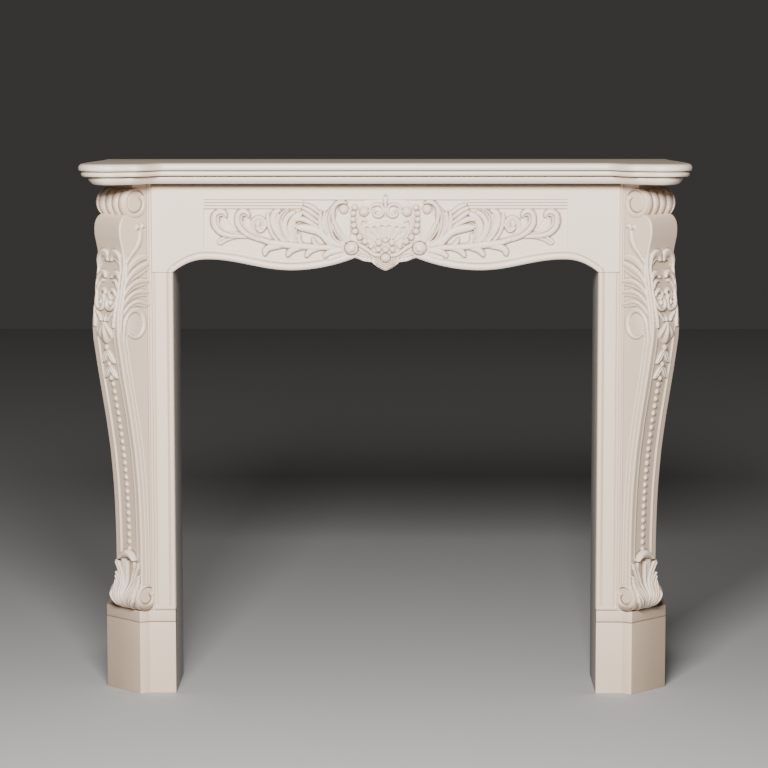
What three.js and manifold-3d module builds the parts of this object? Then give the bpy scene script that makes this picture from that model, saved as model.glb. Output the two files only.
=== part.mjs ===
// A carved and painted wooden chimneypiece in the French manner.
// Millimetres, +Z up, X across, the carved face looks along -Y.
// Everything is drawn with the pilaster faces on Y = 0 and then centred in depth.
import * as THREE from "three";
import Module from "manifold-3d";

const wasm = await Module();
wasm.setup();

// Overall sizes
const HEIGHT = 1083; // floor to the top of the shelf
const WIDTH = 1210; // across the ears of the shelf
const LEG_DEPTH = 180; // pilaster face back to the wall
const SHELF_REACH = 66; // middle of the shelf ahead of the pilaster face
const EAR_STEP = 58; // breakfront, from the middle of the shelf to its ends
const EAR_SWELL = 16; // the ears ahead of the breakfront
const GAP = 0.3; // joint between two touching pieces
const BOARD = 20; // thickness of the boards
const CUT_CLEAR = 1; // a cut starts this far ahead of the face

// Fire opening and the front of the legs, measured out from the centre line
const EAR_REACH = 177; // inner face of a leg out to the tip of the ear
const OPENING_HALF = WIDTH / 2 - EAR_REACH; // centre line to the inner face of a leg
const PILASTER_W = 42; // bead, quirk, field and cove
const STILE_W = 9.7; // corner stile between pilaster and console
const BEAD_W = 10; // bead along the opening
const BEAD_LIFT = 0.8; // bead above the arris of the arch
const QUIRK_W = 2; // groove beside the bead
const QUIRK_DEPTH = 2.5;
const COVE_W = 6; // cove at the outer edge of the pilaster
const COVE_DEPTH = 3;
const COVE_FOOT = 7; // plain wood below the end of the cove and the quirk

// Heights
const BLOCK_H = 148; // plinth block
const CAP_H = 23.5; // plinth cap
const FRIEZE_H = 179.5; // joint with the pilaster up to the bed moulding
const SLAB_H = 26; // shelf slab
const BED_H = 15.6; // bed moulding

// Frieze: heights above the joint between pilaster and frieze
const CROWN_RISE = 26.7; // highest point of each side arch
const CROWN_INSET = 70; // in from the inner face of the leg
const SWELL_RISE = 4.7; // lowest point of each swag
const SWELL_INSET = 238;
const CUSP_RISE = 29.7; // where the swag meets the cartouche
const CUSP_X = 61;
const CURL_RISE = 21.7; // where the small curls meet the tongue
const CURL_X = 28;
const TONGUE_RISE = 4.7; // lowest point of the tongue
const PANEL_INSET = 64; // side of the sunk panel
const PANEL_RISE = 146.4; // top of the sunk panel
const PANEL_SINK = 3;
const PANEL_MARGIN = 2; // plain wood between the bead's groove and the panel
const REED_PITCH = 6; // between the grooves above the panel
const REED_GROOVES = 3;
const REED_LENGTH = 201;
const REED_SINK = 1; // reeds behind the face of the board
const GROOVE_W = 2.4;

// Console, one canted block: U runs across its face, W runs out along its cant
const CONSOLE_W = 82;
const RETURN_OUT = 65; // inner edge of the console out to the outer face of the outer return
const VOLUTE_R = 29.5;
const VOLUTE_W = 31; // axis of the volute ahead of the pilaster corner
const VOLUTE_Z = 830;
const VOLUTE_RIBS = 4;
const FOOT_R = 25; // scroll at the foot
const FOOT_W = 10;
const CHANNEL_W = 44; // sunk channel behind the pearls
const CHANNEL_DEPTH = 3;
const CHANNEL_FOOT = 103;
const CHANNEL_TOP = 518;
const PEARL_R = 5;
const PEARL_PITCH = 14.8;
const PEARL_TOP = 465;
const PEARL_COUNT = 23;
const SIDE_SCROLL_W = 30; // big scroll on the side of the console
const SIDE_SCROLL_Z = 590;
const SIDE_RELIEF = 4;

// Plinth
const PLINTH_BEVEL_OUT = 1; // inner edge of the console out to where the plinth steps forward
const PLINTH_NOSE = 10; // the nose ahead of the pilaster face
const PLINTH_NOSE_X = 19; // the nose beyond the bevel's start
const PLINTH_CANT = 76; // canted face, along X and along Y

// Worked out from the sizes above
const STILE_X = OPENING_HALF + PILASTER_W; // inner edge of the stile
const CONSOLE_X = STILE_X + STILE_W + GAP; // inner edge of the console
const CAP_TOP = BLOCK_H + GAP + CAP_H;
const LEG_Z = CAP_TOP + GAP; // underside of pilaster, stile, console and outer return
const RETURN_X = CONSOLE_X + RETURN_OUT;
const SLAB_Z = HEIGHT - SLAB_H;
const BED_Z = SLAB_Z - GAP - BED_H; // underside of the bed moulding
const LEG_TOP = BED_Z - GAP;
const SPRING_Z = LEG_TOP - FRIEZE_H; // joint between pilaster and frieze
const CROWN_X = OPENING_HALF - CROWN_INSET;
const SWELL_X = OPENING_HALF - SWELL_INSET;
const PANEL_X = OPENING_HALF - PANEL_INSET;
const PANEL_TOP = SPRING_Z + PANEL_RISE;
const REED_INNER = PANEL_X - REED_LENGTH;
const SHELF_FRONT = SHELF_REACH + EAR_STEP + EAR_SWELL;
const CENTRE_Y = (SHELF_FRONT - LEG_DEPTH) / 2; // centres the depth on the origin

const paint = (name, color, roughness) => {
  const material = new THREE.MeshStandardMaterial({ color, roughness, metalness: 0 });
  material.name = name;
  return material;
};
const SHELF_PAINT = paint("shelf cream", 0xe1dbd3, 0.42);
const FRIEZE_PAINT = paint("frieze cream", 0xe0d7d2, 0.5);
const LEG_PAINT = paint("leg cream", 0xd9ccc4, 0.5);
const PLINTH_PAINT = paint("plinth cream", 0xcfc2b9, 0.52);

const scene = new THREE.Group();
const model = new THREE.Group();
model.position.y = CENTRE_Y;
scene.add(model);

// Solids

// Turns corners and triangles into a solid, with its faces outwards
function solid(corners, triangles) {
  let volume = 0;
  for (let i = 0; i < triangles.length; i += 3) {
    const [a, b, c] = [0, 1, 2].map((k) => new THREE.Vector3(...corners[triangles[i + k]]));
    volume += a.dot(b.cross(c));
  }
  const triVerts = Uint32Array.from(triangles);
  if (volume < 0) {
    for (let i = 0; i < triVerts.length; i += 3) {
      [triVerts[i + 1], triVerts[i + 2]] = [triVerts[i + 2], triVerts[i + 1]];
    }
  }
  const vertProperties = Float32Array.from(corners.flat());
  return new wasm.Manifold(new wasm.Mesh({ numProp: 3, vertProperties, triVerts }));
}

// Skins a stack of closed rings that all have the same number of corners
function loft(rings, place = (...p) => p) {
  const n = rings[0].length;
  const triangles = [];
  for (let r = 0; r + 1 < rings.length; r++) {
    for (let i = 0; i < n; i++) {
      const j = (i + 1) % n;
      const [a, b, c, d] = [r * n + i, r * n + j, (r + 1) * n + j, (r + 1) * n + i];
      triangles.push(a, b, c, a, c, d);
    }
  }
  const flat = (ring) => ring.map((p) => new THREE.Vector2(p[0], p[1]));
  const last = (rings.length - 1) * n;
  const clockwise = THREE.ShapeUtils.isClockWise(flat(rings[0]));
  for (const [ring, base, under] of [[rings[0], 0, true], [rings.at(-1), last, false]]) {
    for (const [a, b, c] of THREE.ShapeUtils.triangulateShape(flat(ring), [])) {
      const kept = under === clockwise;
      triangles.push(base + a, base + (kept ? b : c), base + (kept ? c : b));
    }
  }
  return solid(rings.flat().map((p) => place(...p)), triangles);
}

// A flat outline raised from one height to another
function prism(outline, low, high, place) {
  return loft([low, high].map((z) => outline.map(([x, y]) => [x, y, z])), place);
}

// Stands an outline drawn in X and Z upright, so that it runs through the depth
const upright = (x, z, y) => [x, y, z];

const rectangle = (x0, x1, y0, y1) => [[x0, y0], [x1, y0], [x1, y1], [x0, y1]];

// A low ball, used for pearls, eyes and small volutes
const BALL_RINGS = 3;
const BALL_SIDES = 7;
const PEARL_SIDES = 5;

function ball(at, radius, sides, place, squash = 1) {
  const corners = [[0, 0, -radius * squash]];
  const triangles = [];
  for (let r = 1; r < BALL_RINGS; r++) {
    const lift = (Math.PI * r) / BALL_RINGS;
    for (let i = 0; i < sides; i++) {
      const turn = (2 * Math.PI * (i + 0.5)) / sides;
      const reach = radius * Math.sin(lift);
      corners.push([reach * Math.cos(turn), reach * Math.sin(turn), -radius * squash * Math.cos(lift)]);
    }
  }
  corners.push([0, 0, radius * squash]);
  const end = corners.length - 1;
  for (let i = 0; i < sides; i++) {
    const j = (i + 1) % sides;
    triangles.push(0, 1 + j, 1 + i);
    for (let r = 1; r + 1 < BALL_RINGS; r++) {
      const [a, b] = [1 + (r - 1) * sides, 1 + r * sides];
      triangles.push(a + i, a + j, b + j, a + i, b + j, b + i);
    }
    triangles.push(end - sides + i, end - sides + j, end);
  }
  return solid(corners.map((p) => place(p[0] + at[0], p[1] + at[1], p[2])), triangles);
}

// A ridge along a path: each stop has a place, a half width and a height.
// Both ends run out to a point, and its underside is buried in the ground.
const BURY = 1.6;

function ridge(stops, place) {
  const side = stops.map((p, i) => {
    const a = stops[Math.max(i - 1, 0)];
    const b = stops[Math.min(i + 1, stops.length - 1)];
    const length = Math.hypot(b.x - a.x, b.y - a.y);
    return [-(b.y - a.y) / length, (b.x - a.x) / length];
  });
  const corners = [[stops[0].x, stops[0].y, -BURY]];
  const triangles = [];
  for (let i = 1; i + 1 < stops.length; i++) {
    const { x, y, half, high } = stops[i];
    const [nx, ny] = side[i];
    corners.push([x + nx * half, y + ny * half, -BURY], [x, y, high], [x - nx * half, y - ny * half, -BURY]);
  }
  corners.push([stops.at(-1).x, stops.at(-1).y, -BURY]);
  const end = corners.length - 1;
  for (let k = 0; k < 3; k++) {
    const m = (k + 1) % 3;
    triangles.push(0, 1 + k, 1 + m);
    for (let i = 1; i + 3 < end; i += 3) triangles.push(i + k, i + 3 + k, i + 3 + m, i + k, i + 3 + m, i + m);
    triangles.push(end - 3 + k, end, end - 3 + m);
  }
  return solid(corners.map((p) => place(...p)), triangles);
}

// A leaf grows from its root along a curve. Turn bends it evenly and curl bends
// its tip. Angles are in degrees, 0 along the first axis and 90 along the second.
const LONG_LEAF = [0, 0.14, 0.42, 0.7, 0.9, 1];
const SHORT_LEAF = [0, 0.25, 0.75, 1];
const MIDDLE_LEAF = [0, 0.18, 0.55, 0.88, 1];
const LEAF_STEPS = 25;
const LEAF_BLUNT = 0.6; // how quickly a leaf widens, 1 for a half wave
const LEAF_TIP = 0.8; // below 1 puts the widest part nearer the root
const LEAF_ENDS = 0.5; // height near the ends as a share of the full height
const GENTLE_BEND = 70;
const STRONG_BEND = 180;

function leafStops({ x, y, head, turn = 0, curl = 0, long, wide, high }) {
  const bend = Math.abs(turn) + Math.abs(curl);
  let stopsAt = MIDDLE_LEAF;
  if (bend < GENTLE_BEND) stopsAt = SHORT_LEAF;
  if (bend > STRONG_BEND) stopsAt = LONG_LEAF;
  const path = [[x, y]];
  for (let i = 0; i < LEAF_STEPS; i++) {
    const s = (i + 0.5) / LEAF_STEPS;
    const angle = THREE.MathUtils.degToRad(head + turn * s + curl * s ** 3);
    const [px, py] = path[i];
    path.push([px + (Math.cos(angle) * long) / LEAF_STEPS, py + (Math.sin(angle) * long) / LEAF_STEPS]);
  }
  return stopsAt.map((s) => {
    const [px, py] = path[Math.round(s * LEAF_STEPS)];
    const swell = Math.sin(Math.PI * s ** LEAF_TIP) ** LEAF_BLUNT;
    return { x: px, y: py, half: (wide / 2) * swell, high: high * (LEAF_ENDS + (1 - LEAF_ENDS) * swell) };
  });
}

const leaf = (spec, place) => ridge(leafStops(spec), place);

// A ridge of one width along any curve
function cord(curve, stops, wide, high, place) {
  const list = [];
  for (let i = 0; i <= stops; i++) {
    const [x, y] = curve(i / stops);
    list.push({ x, y, half: wide / 2, high });
  }
  return ridge(list, place);
}

// An arc about a centre, from one angle to another
const arc = (cx, cy, radius, from, to) => (s) => {
  const angle = THREE.MathUtils.degToRad(from + (to - from) * s);
  return [cx + radius * Math.cos(angle), cy + radius * Math.sin(angle)];
};

const join = (parts) => parts.reduce((whole, part) => whole.add(part));

function addPiece(name, body, material, group = model) {
  const made = body.getMesh();
  const geometry = new THREE.BufferGeometry();
  geometry.setAttribute("position", new THREE.BufferAttribute(made.vertProperties, 3));
  geometry.setIndex(new THREE.BufferAttribute(made.triVerts, 1));
  const mesh = new THREE.Mesh(geometry, material);
  mesh.name = name;
  group.add(mesh);
}

// Shelf and bed moulding

// The shelf's plan, from the centre line round to the wall, as stops with the
// share of an inset that each takes sideways and forwards
const BREAK_OUT = 35; // inner face of the leg out to the middle of the breakfront's curve
const BREAK_HALF = 26;
const BREAK_STEPS = 4;
const BREAK_SHIFT = 0.7; // share of an inset that the breakfront's curve moves out
const EAR_INSET = 60; // furthest forward point of an ear, in from its tip
const EAR_X = WIDTH / 2 - EAR_INSET;
const CORNER_R = 54; // rounded corner of an ear
const CORNER_STEPS = 5;
const EAR_STOPS = [0.35, 0.7]; // between the breakfront and the front of the ear
const SIDE_WAIST = 22; // how far the sides draw in towards the wall
const SIDE_STEPS = 3;
const ease = (s) => (1 - Math.cos(Math.PI * s)) / 2;

// The plan set in by an even amount, except at the wall
function shelfStops(inset) {
  const stops = [];
  const middle = SHELF_REACH - inset;
  const breakX = OPENING_HALF + BREAK_OUT + inset * BREAK_SHIFT;
  for (let i = 0; i <= BREAK_STEPS; i++) {
    const s = i / BREAK_STEPS;
    stops.push([breakX + BREAK_HALF * (2 * s - 1), -(middle + EAR_STEP * ease(s))]);
  }
  const swellFrom = breakX + BREAK_HALF;
  for (const s of EAR_STOPS) {
    stops.push([swellFrom + (EAR_X - swellFrom) * s, -(middle + EAR_STEP + EAR_SWELL * ease(s))]);
  }
  const half = WIDTH / 2 - inset;
  const front = SHELF_FRONT - inset;
  for (let i = 0; i <= CORNER_STEPS; i++) {
    const angle = (Math.PI / 2) * (i / CORNER_STEPS);
    const x = EAR_X + (half - EAR_X) * Math.sin(angle);
    stops.push([x, -(front - CORNER_R * (1 - Math.cos(angle)))]);
  }
  for (let i = 1; i <= SIDE_STEPS; i++) {
    const s = i / SIDE_STEPS;
    stops.push([half - SIDE_WAIST * ease(s), CORNER_R - front + (LEG_DEPTH - CORNER_R + front) * s]);
  }
  return stops;
}

// One ring of the shelf's edge
function shelfRing(inset, z) {
  const outer = shelfStops(inset).map(([x, y]) => [x, y, z]);
  return [...outer.map(([x, y]) => [-x, y, z]).reverse(), ...outer];
}

// Edge profiles as insets from the widest line and heights above the underside
const SLAB_PROFILE = [
  [12, 0], [6, 2.4], [4.5, 7], [6.2, 10.6], [1, 12.6], [0, 16.5], [1.6, 22.5], [6.5, SLAB_H],
];
const BED_PROFILE = [[29, 0], [23, 2.6], [18.5, 7.5], [17, 12], [18.5, BED_H]];
const BED_LAP = 28; // the bed moulding is a frame, open at the back, inside the legs
const BED_DEPTH = 26; // back of the frieze to the inside of the frame
const BED_INNER_X = OPENING_HALF - BED_LAP;
const BED_INNER_Y = BOARD + BED_DEPTH;

function shelfSlab() {
  return loft(SLAB_PROFILE.map(([inset, rise]) => shelfRing(inset, SLAB_Z + rise)));
}

function bedMoulding() {
  return loft(BED_PROFILE.map(([inset, rise]) => {
    const z = BED_Z + rise;
    const inside = [
      [BED_INNER_X, LEG_DEPTH, z],
      [BED_INNER_X, BED_INNER_Y, z],
      [-BED_INNER_X, BED_INNER_Y, z],
      [-BED_INNER_X, LEG_DEPTH, z],
    ];
    return [...shelfRing(inset, z), ...inside];
  }));
}

// Frieze

// Height of the frieze's lower edge at a distance from the centre line
const SPRING_POWER = 2.2;

function archRise(x) {
  const u = Math.abs(x);
  if (u > CROWN_X) {
    const s = (u - CROWN_X) / (OPENING_HALF - CROWN_X);
    return CROWN_RISE - (CROWN_RISE - GAP) * Math.min(s, 1) ** SPRING_POWER;
  }
  if (u > SWELL_X) return SWELL_RISE + (CROWN_RISE - SWELL_RISE) * ease((u - SWELL_X) / (CROWN_X - SWELL_X));
  if (u > CUSP_X) return SWELL_RISE + (CUSP_RISE - SWELL_RISE) * ((SWELL_X - u) / (SWELL_X - CUSP_X)) ** 2;
  if (u > CURL_X) return CURL_RISE + (CUSP_RISE - CURL_RISE) * ((u - CURL_X) / (CUSP_X - CURL_X)) ** 2;
  return TONGUE_RISE + (CURL_RISE - TONGUE_RISE) * ease(u / CURL_X);
}

const archZ = (x) => SPRING_Z + archRise(x);

// Distances from the centre line at which the lower edge is sampled
function archStations() {
  const span = (a, b, n) => Array.from({ length: n }, (_, i) => a + ((b - a) * i) / n);
  return [
    ...span(0, CURL_X, 3),
    ...span(CURL_X, CUSP_X, 2),
    ...span(CUSP_X, SWELL_X, 3),
    ...span(SWELL_X, CROWN_X, 4),
    ...span(CROWN_X, OPENING_HALF, 4),
    OPENING_HALF,
  ];
}

function mirrorList(list, point) {
  const left = list.slice(1).reverse().map((u) => point(-u));
  return [...left, ...list.map(point)];
}

// Carving on the frieze: distance out from the centre line, drawn for a panel of one
// width and stretched to fit, and height above the joint with the pilaster
const PANEL_DRAWN = 364;
const SPRAY = [
  { x: 250, y: 68, head: 6, turn: 60, curl: 130, long: 118, wide: 19, high: 8 },
  { x: 212, y: 50, head: 17, turn: 50, curl: 115, long: 116, wide: 19, high: 8 },
  { x: 252, y: 79, head: 125, turn: -60, curl: -110, long: 46, wide: 15, high: 8 },
  { x: 201, y: 60, head: 40, turn: 55, curl: 40, long: 77, wide: 11, high: 6 },
  { x: 184, y: 57, head: 44, turn: 60, curl: 40, long: 79, wide: 11, high: 6 },
  { x: 172, y: 57, head: 46, turn: 55, curl: 20, long: 66, wide: 7, high: 4 },
  { x: 190, y: 54, head: 2, turn: -10, curl: -85, long: 60, wide: 13, high: 7 },
  { x: 162, y: 47, head: -6, turn: -10, curl: -65, long: 42, wide: 12, high: 7 },
  { x: 124, y: 48, head: -6, turn: -10, curl: -55, long: 42, wide: 11, high: 7 },
  { x: 272, y: 77, head: -14, turn: -10, curl: 40, long: 64, wide: 10, high: 5 },
  { x: 68, y: 49, head: -2, turn: 22, long: 186, wide: 13, high: 7 },
  { x: 105, y: 53, head: 56, turn: -85, curl: 60, long: 90, wide: 11, high: 7 },
  { x: 171, y: 53, head: 68, turn: 40, long: 28, wide: 11, high: 6 },
  { x: 133, y: 49, head: 24, turn: 65, long: 30, wide: 11, high: 6 },
  { x: 84, y: 49, head: 20, turn: 45, long: 38, wide: 11, high: 6 },
  { x: 83, y: 56, head: 42, turn: 45, long: 42, wide: 11, high: 7 },
  { x: 105, y: 64, head: 72, turn: 35, long: 70, wide: 10, high: 6 },
  { x: 122, y: 71, head: 70, turn: 25, long: 56, wide: 9, high: 5 },
  { x: 94, y: 43, head: -20, turn: -15, long: 42, wide: 17, high: 5 },
];
const FAN = { x: 130, y: 89, head: 30, curl: -20, long: 44, wide: 11, high: 8, rise: 10.5, count: 4 };
const FRAME = [
  { x: 82, y: 54, head: 74, turn: 42, curl: 90, long: 92, wide: 10, high: 8 },
  { x: 34, y: 37, head: 10, turn: 34, long: 44, wide: 12, high: 7 },
  { x: 30, y: 28, head: -20, turn: 40, long: 32, wide: 10, high: 5 },
  { x: 24, y: 129, head: 150, turn: 90, curl: 60, long: 34, wide: 8, high: 6 },
];
const BALLS = [
  { x: 84, y: 128, r: 10 },
  { x: 44, y: 123, r: 9 },
  { x: 68, y: 49, r: 12 },
  { x: 12, y: 60, r: 8 },
];
const PEARL_STRING = { x: 65, top: 131, turn: 101, drop: 56, r: 6, straight: 3, round: 6 };
const FAN_SHORTEN = 4; // each finger of the fan is shorter than the one below
const BALL_SQUASH = 0.8;
const PENDANT_RISE = 29; // pearl above the tongue, with ridges curving under it
const PENDANT_R = 9;
const PENDANT_ARCS = [15, 21];
const PENDANT_ARC = { from: 200, to: 340, stops: 6, wide: 5, high: 5 };
const SHELL = { x: 0, y: 61, head: 81, flutes: 4, spread: 15, long: 46, wide: 9, high: 7 };

const friezeGround = (x, y, h) => [(x * PANEL_X) / PANEL_DRAWN, PANEL_SINK - h, SPRING_Z + y];
const mirrored = (place) => (x, y, h) => place(-x, y, h);

function carvedSide(place) {
  const parts = [...SPRAY, ...FRAME].map((spec) => leaf(spec, place));
  for (let i = 0; i < FAN.count; i++) {
    parts.push(leaf({ ...FAN, y: FAN.y + i * FAN.rise, long: FAN.long - i * FAN_SHORTEN }, place));
  }
  for (const { x, y, r } of BALLS) parts.push(ball([x, y], r, BALL_SIDES, place, BALL_SQUASH));
  const { x, top, turn, drop, r, straight, round } = PEARL_STRING;
  for (let i = 0; i < straight; i++) {
    parts.push(ball([x, top - ((top - turn) * i) / straight], r, PEARL_SIDES, place));
  }
  for (let i = 0; i < round; i++) {
    const angle = (Math.PI / 2) * (i / round);
    parts.push(ball([x * Math.cos(angle), turn - drop * Math.sin(angle)], r, PEARL_SIDES, place));
  }
  for (let i = 0; i < SHELL.flutes; i++) {
    parts.push(leaf({ ...SHELL, head: SHELL.head - SHELL.spread * i }, place));
  }
  return parts;
}

// The sunk panel follows the arch at the width of the bead above it
function panelOutline() {
  const rise = BEAD_W + QUIRK_W + PANEL_MARGIN;
  const stations = archStations().filter((u) => u < PANEL_X - rise);
  const lower = mirrorList([...stations, PANEL_X], (x) => [x, archZ(x) + rise]);
  return [...lower, [PANEL_X, PANEL_TOP], [-PANEL_X, PANEL_TOP]];
}

function friezeBoard() {
  const stations = archStations();
  const lower = mirrorList(stations, (x) => [x, archZ(x)]);
  const edge = STILE_X - GAP;
  const outline = [
    [-edge, SPRING_Z + GAP],
    ...lower,
    [edge, SPRING_Z + GAP],
    [edge, LEG_TOP],
    [-edge, LEG_TOP],
  ];
  let board = prism(outline, 0, BOARD, upright);
  board = board.subtract(prism(panelOutline(), -CUT_CLEAR, PANEL_SINK, upright));
  const reedFoot = PANEL_TOP - REED_PITCH * REED_GROOVES;
  for (const flip of [1, -1]) {
    const reeds = rectangle(REED_INNER * flip, PANEL_X * flip, reedFoot, PANEL_TOP);
    board = board.add(prism(reeds, REED_SINK, PANEL_SINK + REED_SINK, upright));
    for (let i = 0; i <= REED_GROOVES; i++) {
      const z = PANEL_TOP - i * REED_PITCH;
      const cut = [[z - GROOVE_W / 2, 0], [z + GROOVE_W / 2, 0], [z, PANEL_SINK]];
      board = board.subtract(prism(cut, REED_INNER, PANEL_X, (a, b, c) => [c * flip, b, a]));
    }
  }
  const bead = stations.slice().reverse().map((u) => [u, archZ(u) + BEAD_LIFT + BEAD_W / 2]);
  const beadStops = [...bead.map(([u, z]) => [-u, z]), ...bead.slice(0, -1).reverse()];
  const swell = beadStops.map(([x, y]) => ({ x, y, half: BEAD_W / 2, high: QUIRK_W }));
  board = board.add(ridge(swell, (x, y, h) => [x, -h, y]));
  const parts = [...carvedSide(friezeGround), ...carvedSide(mirrored(friezeGround))];
  parts.push(ball([0, PEARL_STRING.turn - PEARL_STRING.drop], PEARL_STRING.r, PEARL_SIDES, friezeGround));
  parts.push(ball([0, PENDANT_RISE], PENDANT_R, BALL_SIDES, friezeGround));
  const { from, to, stops, wide, high } = PENDANT_ARC;
  for (const r of PENDANT_ARCS) {
    parts.push(cord(arc(0, PENDANT_RISE, r, from, to), stops, wide, high, friezeGround));
  }
  return board.add(join(parts));
}

// Leg boards

// Round of the bead and hollow of the cove, as shares of their sizes across and deep
const BEAD_ROUND = [[0, 0.5], [0.15, 0.15], [0.5, 0], [0.85, 0.1]];
const COVE_HOLLOW = [[0.35, 1], [1, 0.6]];

// Plan of the pilaster, from the opening outwards, as distances out and depths in
function pilasterPlan(side) {
  const quirk = OPENING_HALF + BEAD_W;
  const field = quirk + QUIRK_W;
  const cove = STILE_X - GAP - COVE_W;
  const points = [
    [OPENING_HALF, BOARD],
    ...BEAD_ROUND.map(([across, deep]) => [OPENING_HALF + BEAD_W * across, BEAD_W * deep]),
    [quirk + QUIRK_W / 2, QUIRK_DEPTH],
    [field, 0],
    [cove, 0],
    ...COVE_HOLLOW.map(([across, deep]) => [cove + COVE_W * across, COVE_DEPTH * deep]),
    [STILE_X - GAP, BOARD],
  ];
  return points.map(([x, y]) => [x * side, y]);
}

function pilaster(side) {
  const foot = rectangle(side * OPENING_HALF, side * (STILE_X - GAP), 0, BOARD);
  const plain = prism(foot, LEG_Z, LEG_Z + COVE_FOOT);
  return prism(pilasterPlan(side), LEG_Z + COVE_FOOT, SPRING_Z).add(plain);
}

function cornerStile(side) {
  return prism(rectangle(side * STILE_X, side * (CONSOLE_X - GAP), 0, BOARD), LEG_Z, LEG_TOP);
}

function sideBoard(side, inner, front, low) {
  return prism(rectangle(side * inner, side * (inner + BOARD), front, LEG_DEPTH), low, LEG_TOP);
}

// Console

// How far the console's face stands out along its cant at each height above its
// foot, drawn for one height of console and stretched to fit
const CONSOLE_DRAWN = 868.7;
const STRETCH = (LEG_TOP - LEG_Z) / CONSOLE_DRAWN;
const standing = (z) => LEG_Z + z * STRETCH;
const FACE = [
  [0, 8], [43, 21.5], [178, 22.6], [253, 26.5], [328, 34.2], [395, 45],
  [461, 57.8], [537, 72.4], [584, 76.6], [613, 74.4], [672, 64.2], [696, 60.4],
  [720, 59.6], [736, 61.6], [753, 65.8], [769, 69], [786, 66], [800, 46], [814, 34], [CONSOLE_DRAWN, 34],
];

function faceW(z) {
  const i = FACE.findIndex(([height]) => height > z);
  if (i === 0) return FACE[0][1];
  if (i < 0) return FACE.at(-1)[1];
  const [[z0, w0], [z1, w1]] = [FACE[i - 1], FACE[i]];
  return w0 + ((w1 - w0) * (z - z0)) / (z1 - z0);
}

const CONSOLE_BACK = -22; // behind the deepest corner of the block
const frontOf = (a, z, h) => [CONSOLE_W / 2 + a, faceW(z) + h, standing(z)];
const innerSide = (w, z, h) => [-h, w, standing(z)];
const outerSide = (w, z, h) => [CONSOLE_W + h, w, standing(z)];

// The block's plan, cut to meet the stile and the outer return. What stands
// proud of the sides starts clear of both.
const PROUD = 6;
const PROUD_CLEAR = 7;
const PLAN_REACH = 2 * Math.max(...FACE.map(([, w]) => w)); // well past the carving on the face

function consolePlan(proud) {
  const corner = BOARD * Math.SQRT1_2;
  const outerY = RETURN_X - CONSOLE_X; // drop from the inner corner to the return's plane
  const backW = outerY * Math.SQRT2 - CONSOLE_W;
  const inReach = (outerY - BOARD) * Math.SQRT2;
  const across = CONSOLE_W - backW; // U - W along the front of the return
  const back = [
    [0, 0],
    [corner, -corner],
    [(inReach + across) / 2, (inReach - across) / 2],
    [CONSOLE_W, backW],
  ];
  if (!proud) return [[0, PLAN_REACH], ...back, [CONSOLE_W, PLAN_REACH]];
  return [
    [-proud, PLAN_REACH],
    [-proud, PROUD_CLEAR],
    [0, PROUD_CLEAR],
    ...back,
    [CONSOLE_W, backW + PROUD_CLEAR],
    [CONSOLE_W + proud, backW + PROUD_CLEAR],
    [CONSOLE_W + proud, PLAN_REACH],
  ];
}

// A roll across the console, with rounded ribs and a raised ring at each end
const ROLL_SIDES = 10;
const ROLL_END = [[1.2, 0], [1.8, 0.64], [-1, 0.76], [0.8, 0.92]]; // inset, share of the radius
const RIB_FLAT = [0.3, 0.7]; // fullest part of a rib
const RIB_GROOVE = 0.14; // share of the radius

function roll(radius, ribs, w, z) {
  const rib = CONSOLE_W / ribs;
  const end = ROLL_END.map(([inset, share]) => [inset, radius * share]);
  const profile = [...end];
  for (let i = 0; i < ribs; i++) {
    profile.push(...RIB_FLAT.map((s) => [rib * (i + s), radius]));
    if (i + 1 < ribs) profile.push([rib * (i + 1), radius * (1 - RIB_GROOVE)]);
  }
  profile.push(...end.slice().reverse().map(([u, r]) => [CONSOLE_W - u, r]));
  const lathe = new THREE.LatheGeometry(profile.map(([u, r]) => new THREE.Vector2(r, u)), ROLL_SIDES);
  const flat = lathe.attributes.position;
  const corners = [];
  const seen = new Map();
  const index = [];
  for (let i = 0; i < flat.count; i++) {
    const p = [flat.getY(i), w + flat.getX(i), z + flat.getZ(i)];
    const key = p.map((v) => v.toFixed(3)).join();
    if (!seen.has(key)) {
      seen.set(key, corners.length);
      corners.push(p);
    }
    index.push(seen.get(key));
  }
  const triangles = [];
  for (let i = 0; i < lathe.index.count; i += 3) {
    const [a, b, c] = [0, 1, 2].map((k) => index[lathe.index.getX(i + k)]);
    if (a !== b && b !== c && a !== c) triangles.push(a, b, c);
  }
  return solid(corners, triangles);
}

// Carving on the face of the console: distance from its middle, height above its foot
const CARTOUCHE = [
  { x: 4, y: 716, head: 80, turn: -60, curl: -150, long: 42, wide: 9, high: 6 },
  { x: 24, y: 724, head: -70, turn: -40, curl: 30, long: 52, wide: 8, high: 6 },
  { x: 14, y: 684, head: -20, turn: -70, curl: -60, long: 62, wide: 8, high: 6 },
  { x: 12, y: 668, head: -60, turn: -30, curl: -110, long: 48, wide: 8, high: 5 },
];
const HUSKS = [
  { z: 550, long: 56, half: 19 },
  { z: 511, long: 24, half: 11 },
  { z: 479, long: 24, half: 11 },
];
const HUSK_LEAVES = [-1, 0, 1];
const HUSK_LEAF = { shift: 0.22, splay: 27, wide: 0.9, high: 6 };
const HUSK_PEARLS = [542, 508, 480];
const FOOT_LEAF = [
  { x: 0, y: 33, head: 90, long: 88, wide: 20, high: 11 },
  { x: 7, y: 33, head: 60, turn: 40, curl: -40, long: 74, wide: 14, high: 8 },
  { x: 12, y: 28, head: 30, turn: 50, curl: -60, long: 52, wide: 12, high: 6 },
];

// Carving on the sides of the console: distance out along the cant, height
const SIDE_STEM = { x: 50, y: 708, head: 118, turn: -60, curl: 75, long: 92, wide: 9, high: SIDE_RELIEF };
const SIDE_LOBES = [724, 696, 674, 652, 632];
const SIDE_LOBE = { head: 92, turn: 40, curl: 60, long: 82, wide: 13, high: SIDE_RELIEF };

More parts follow.
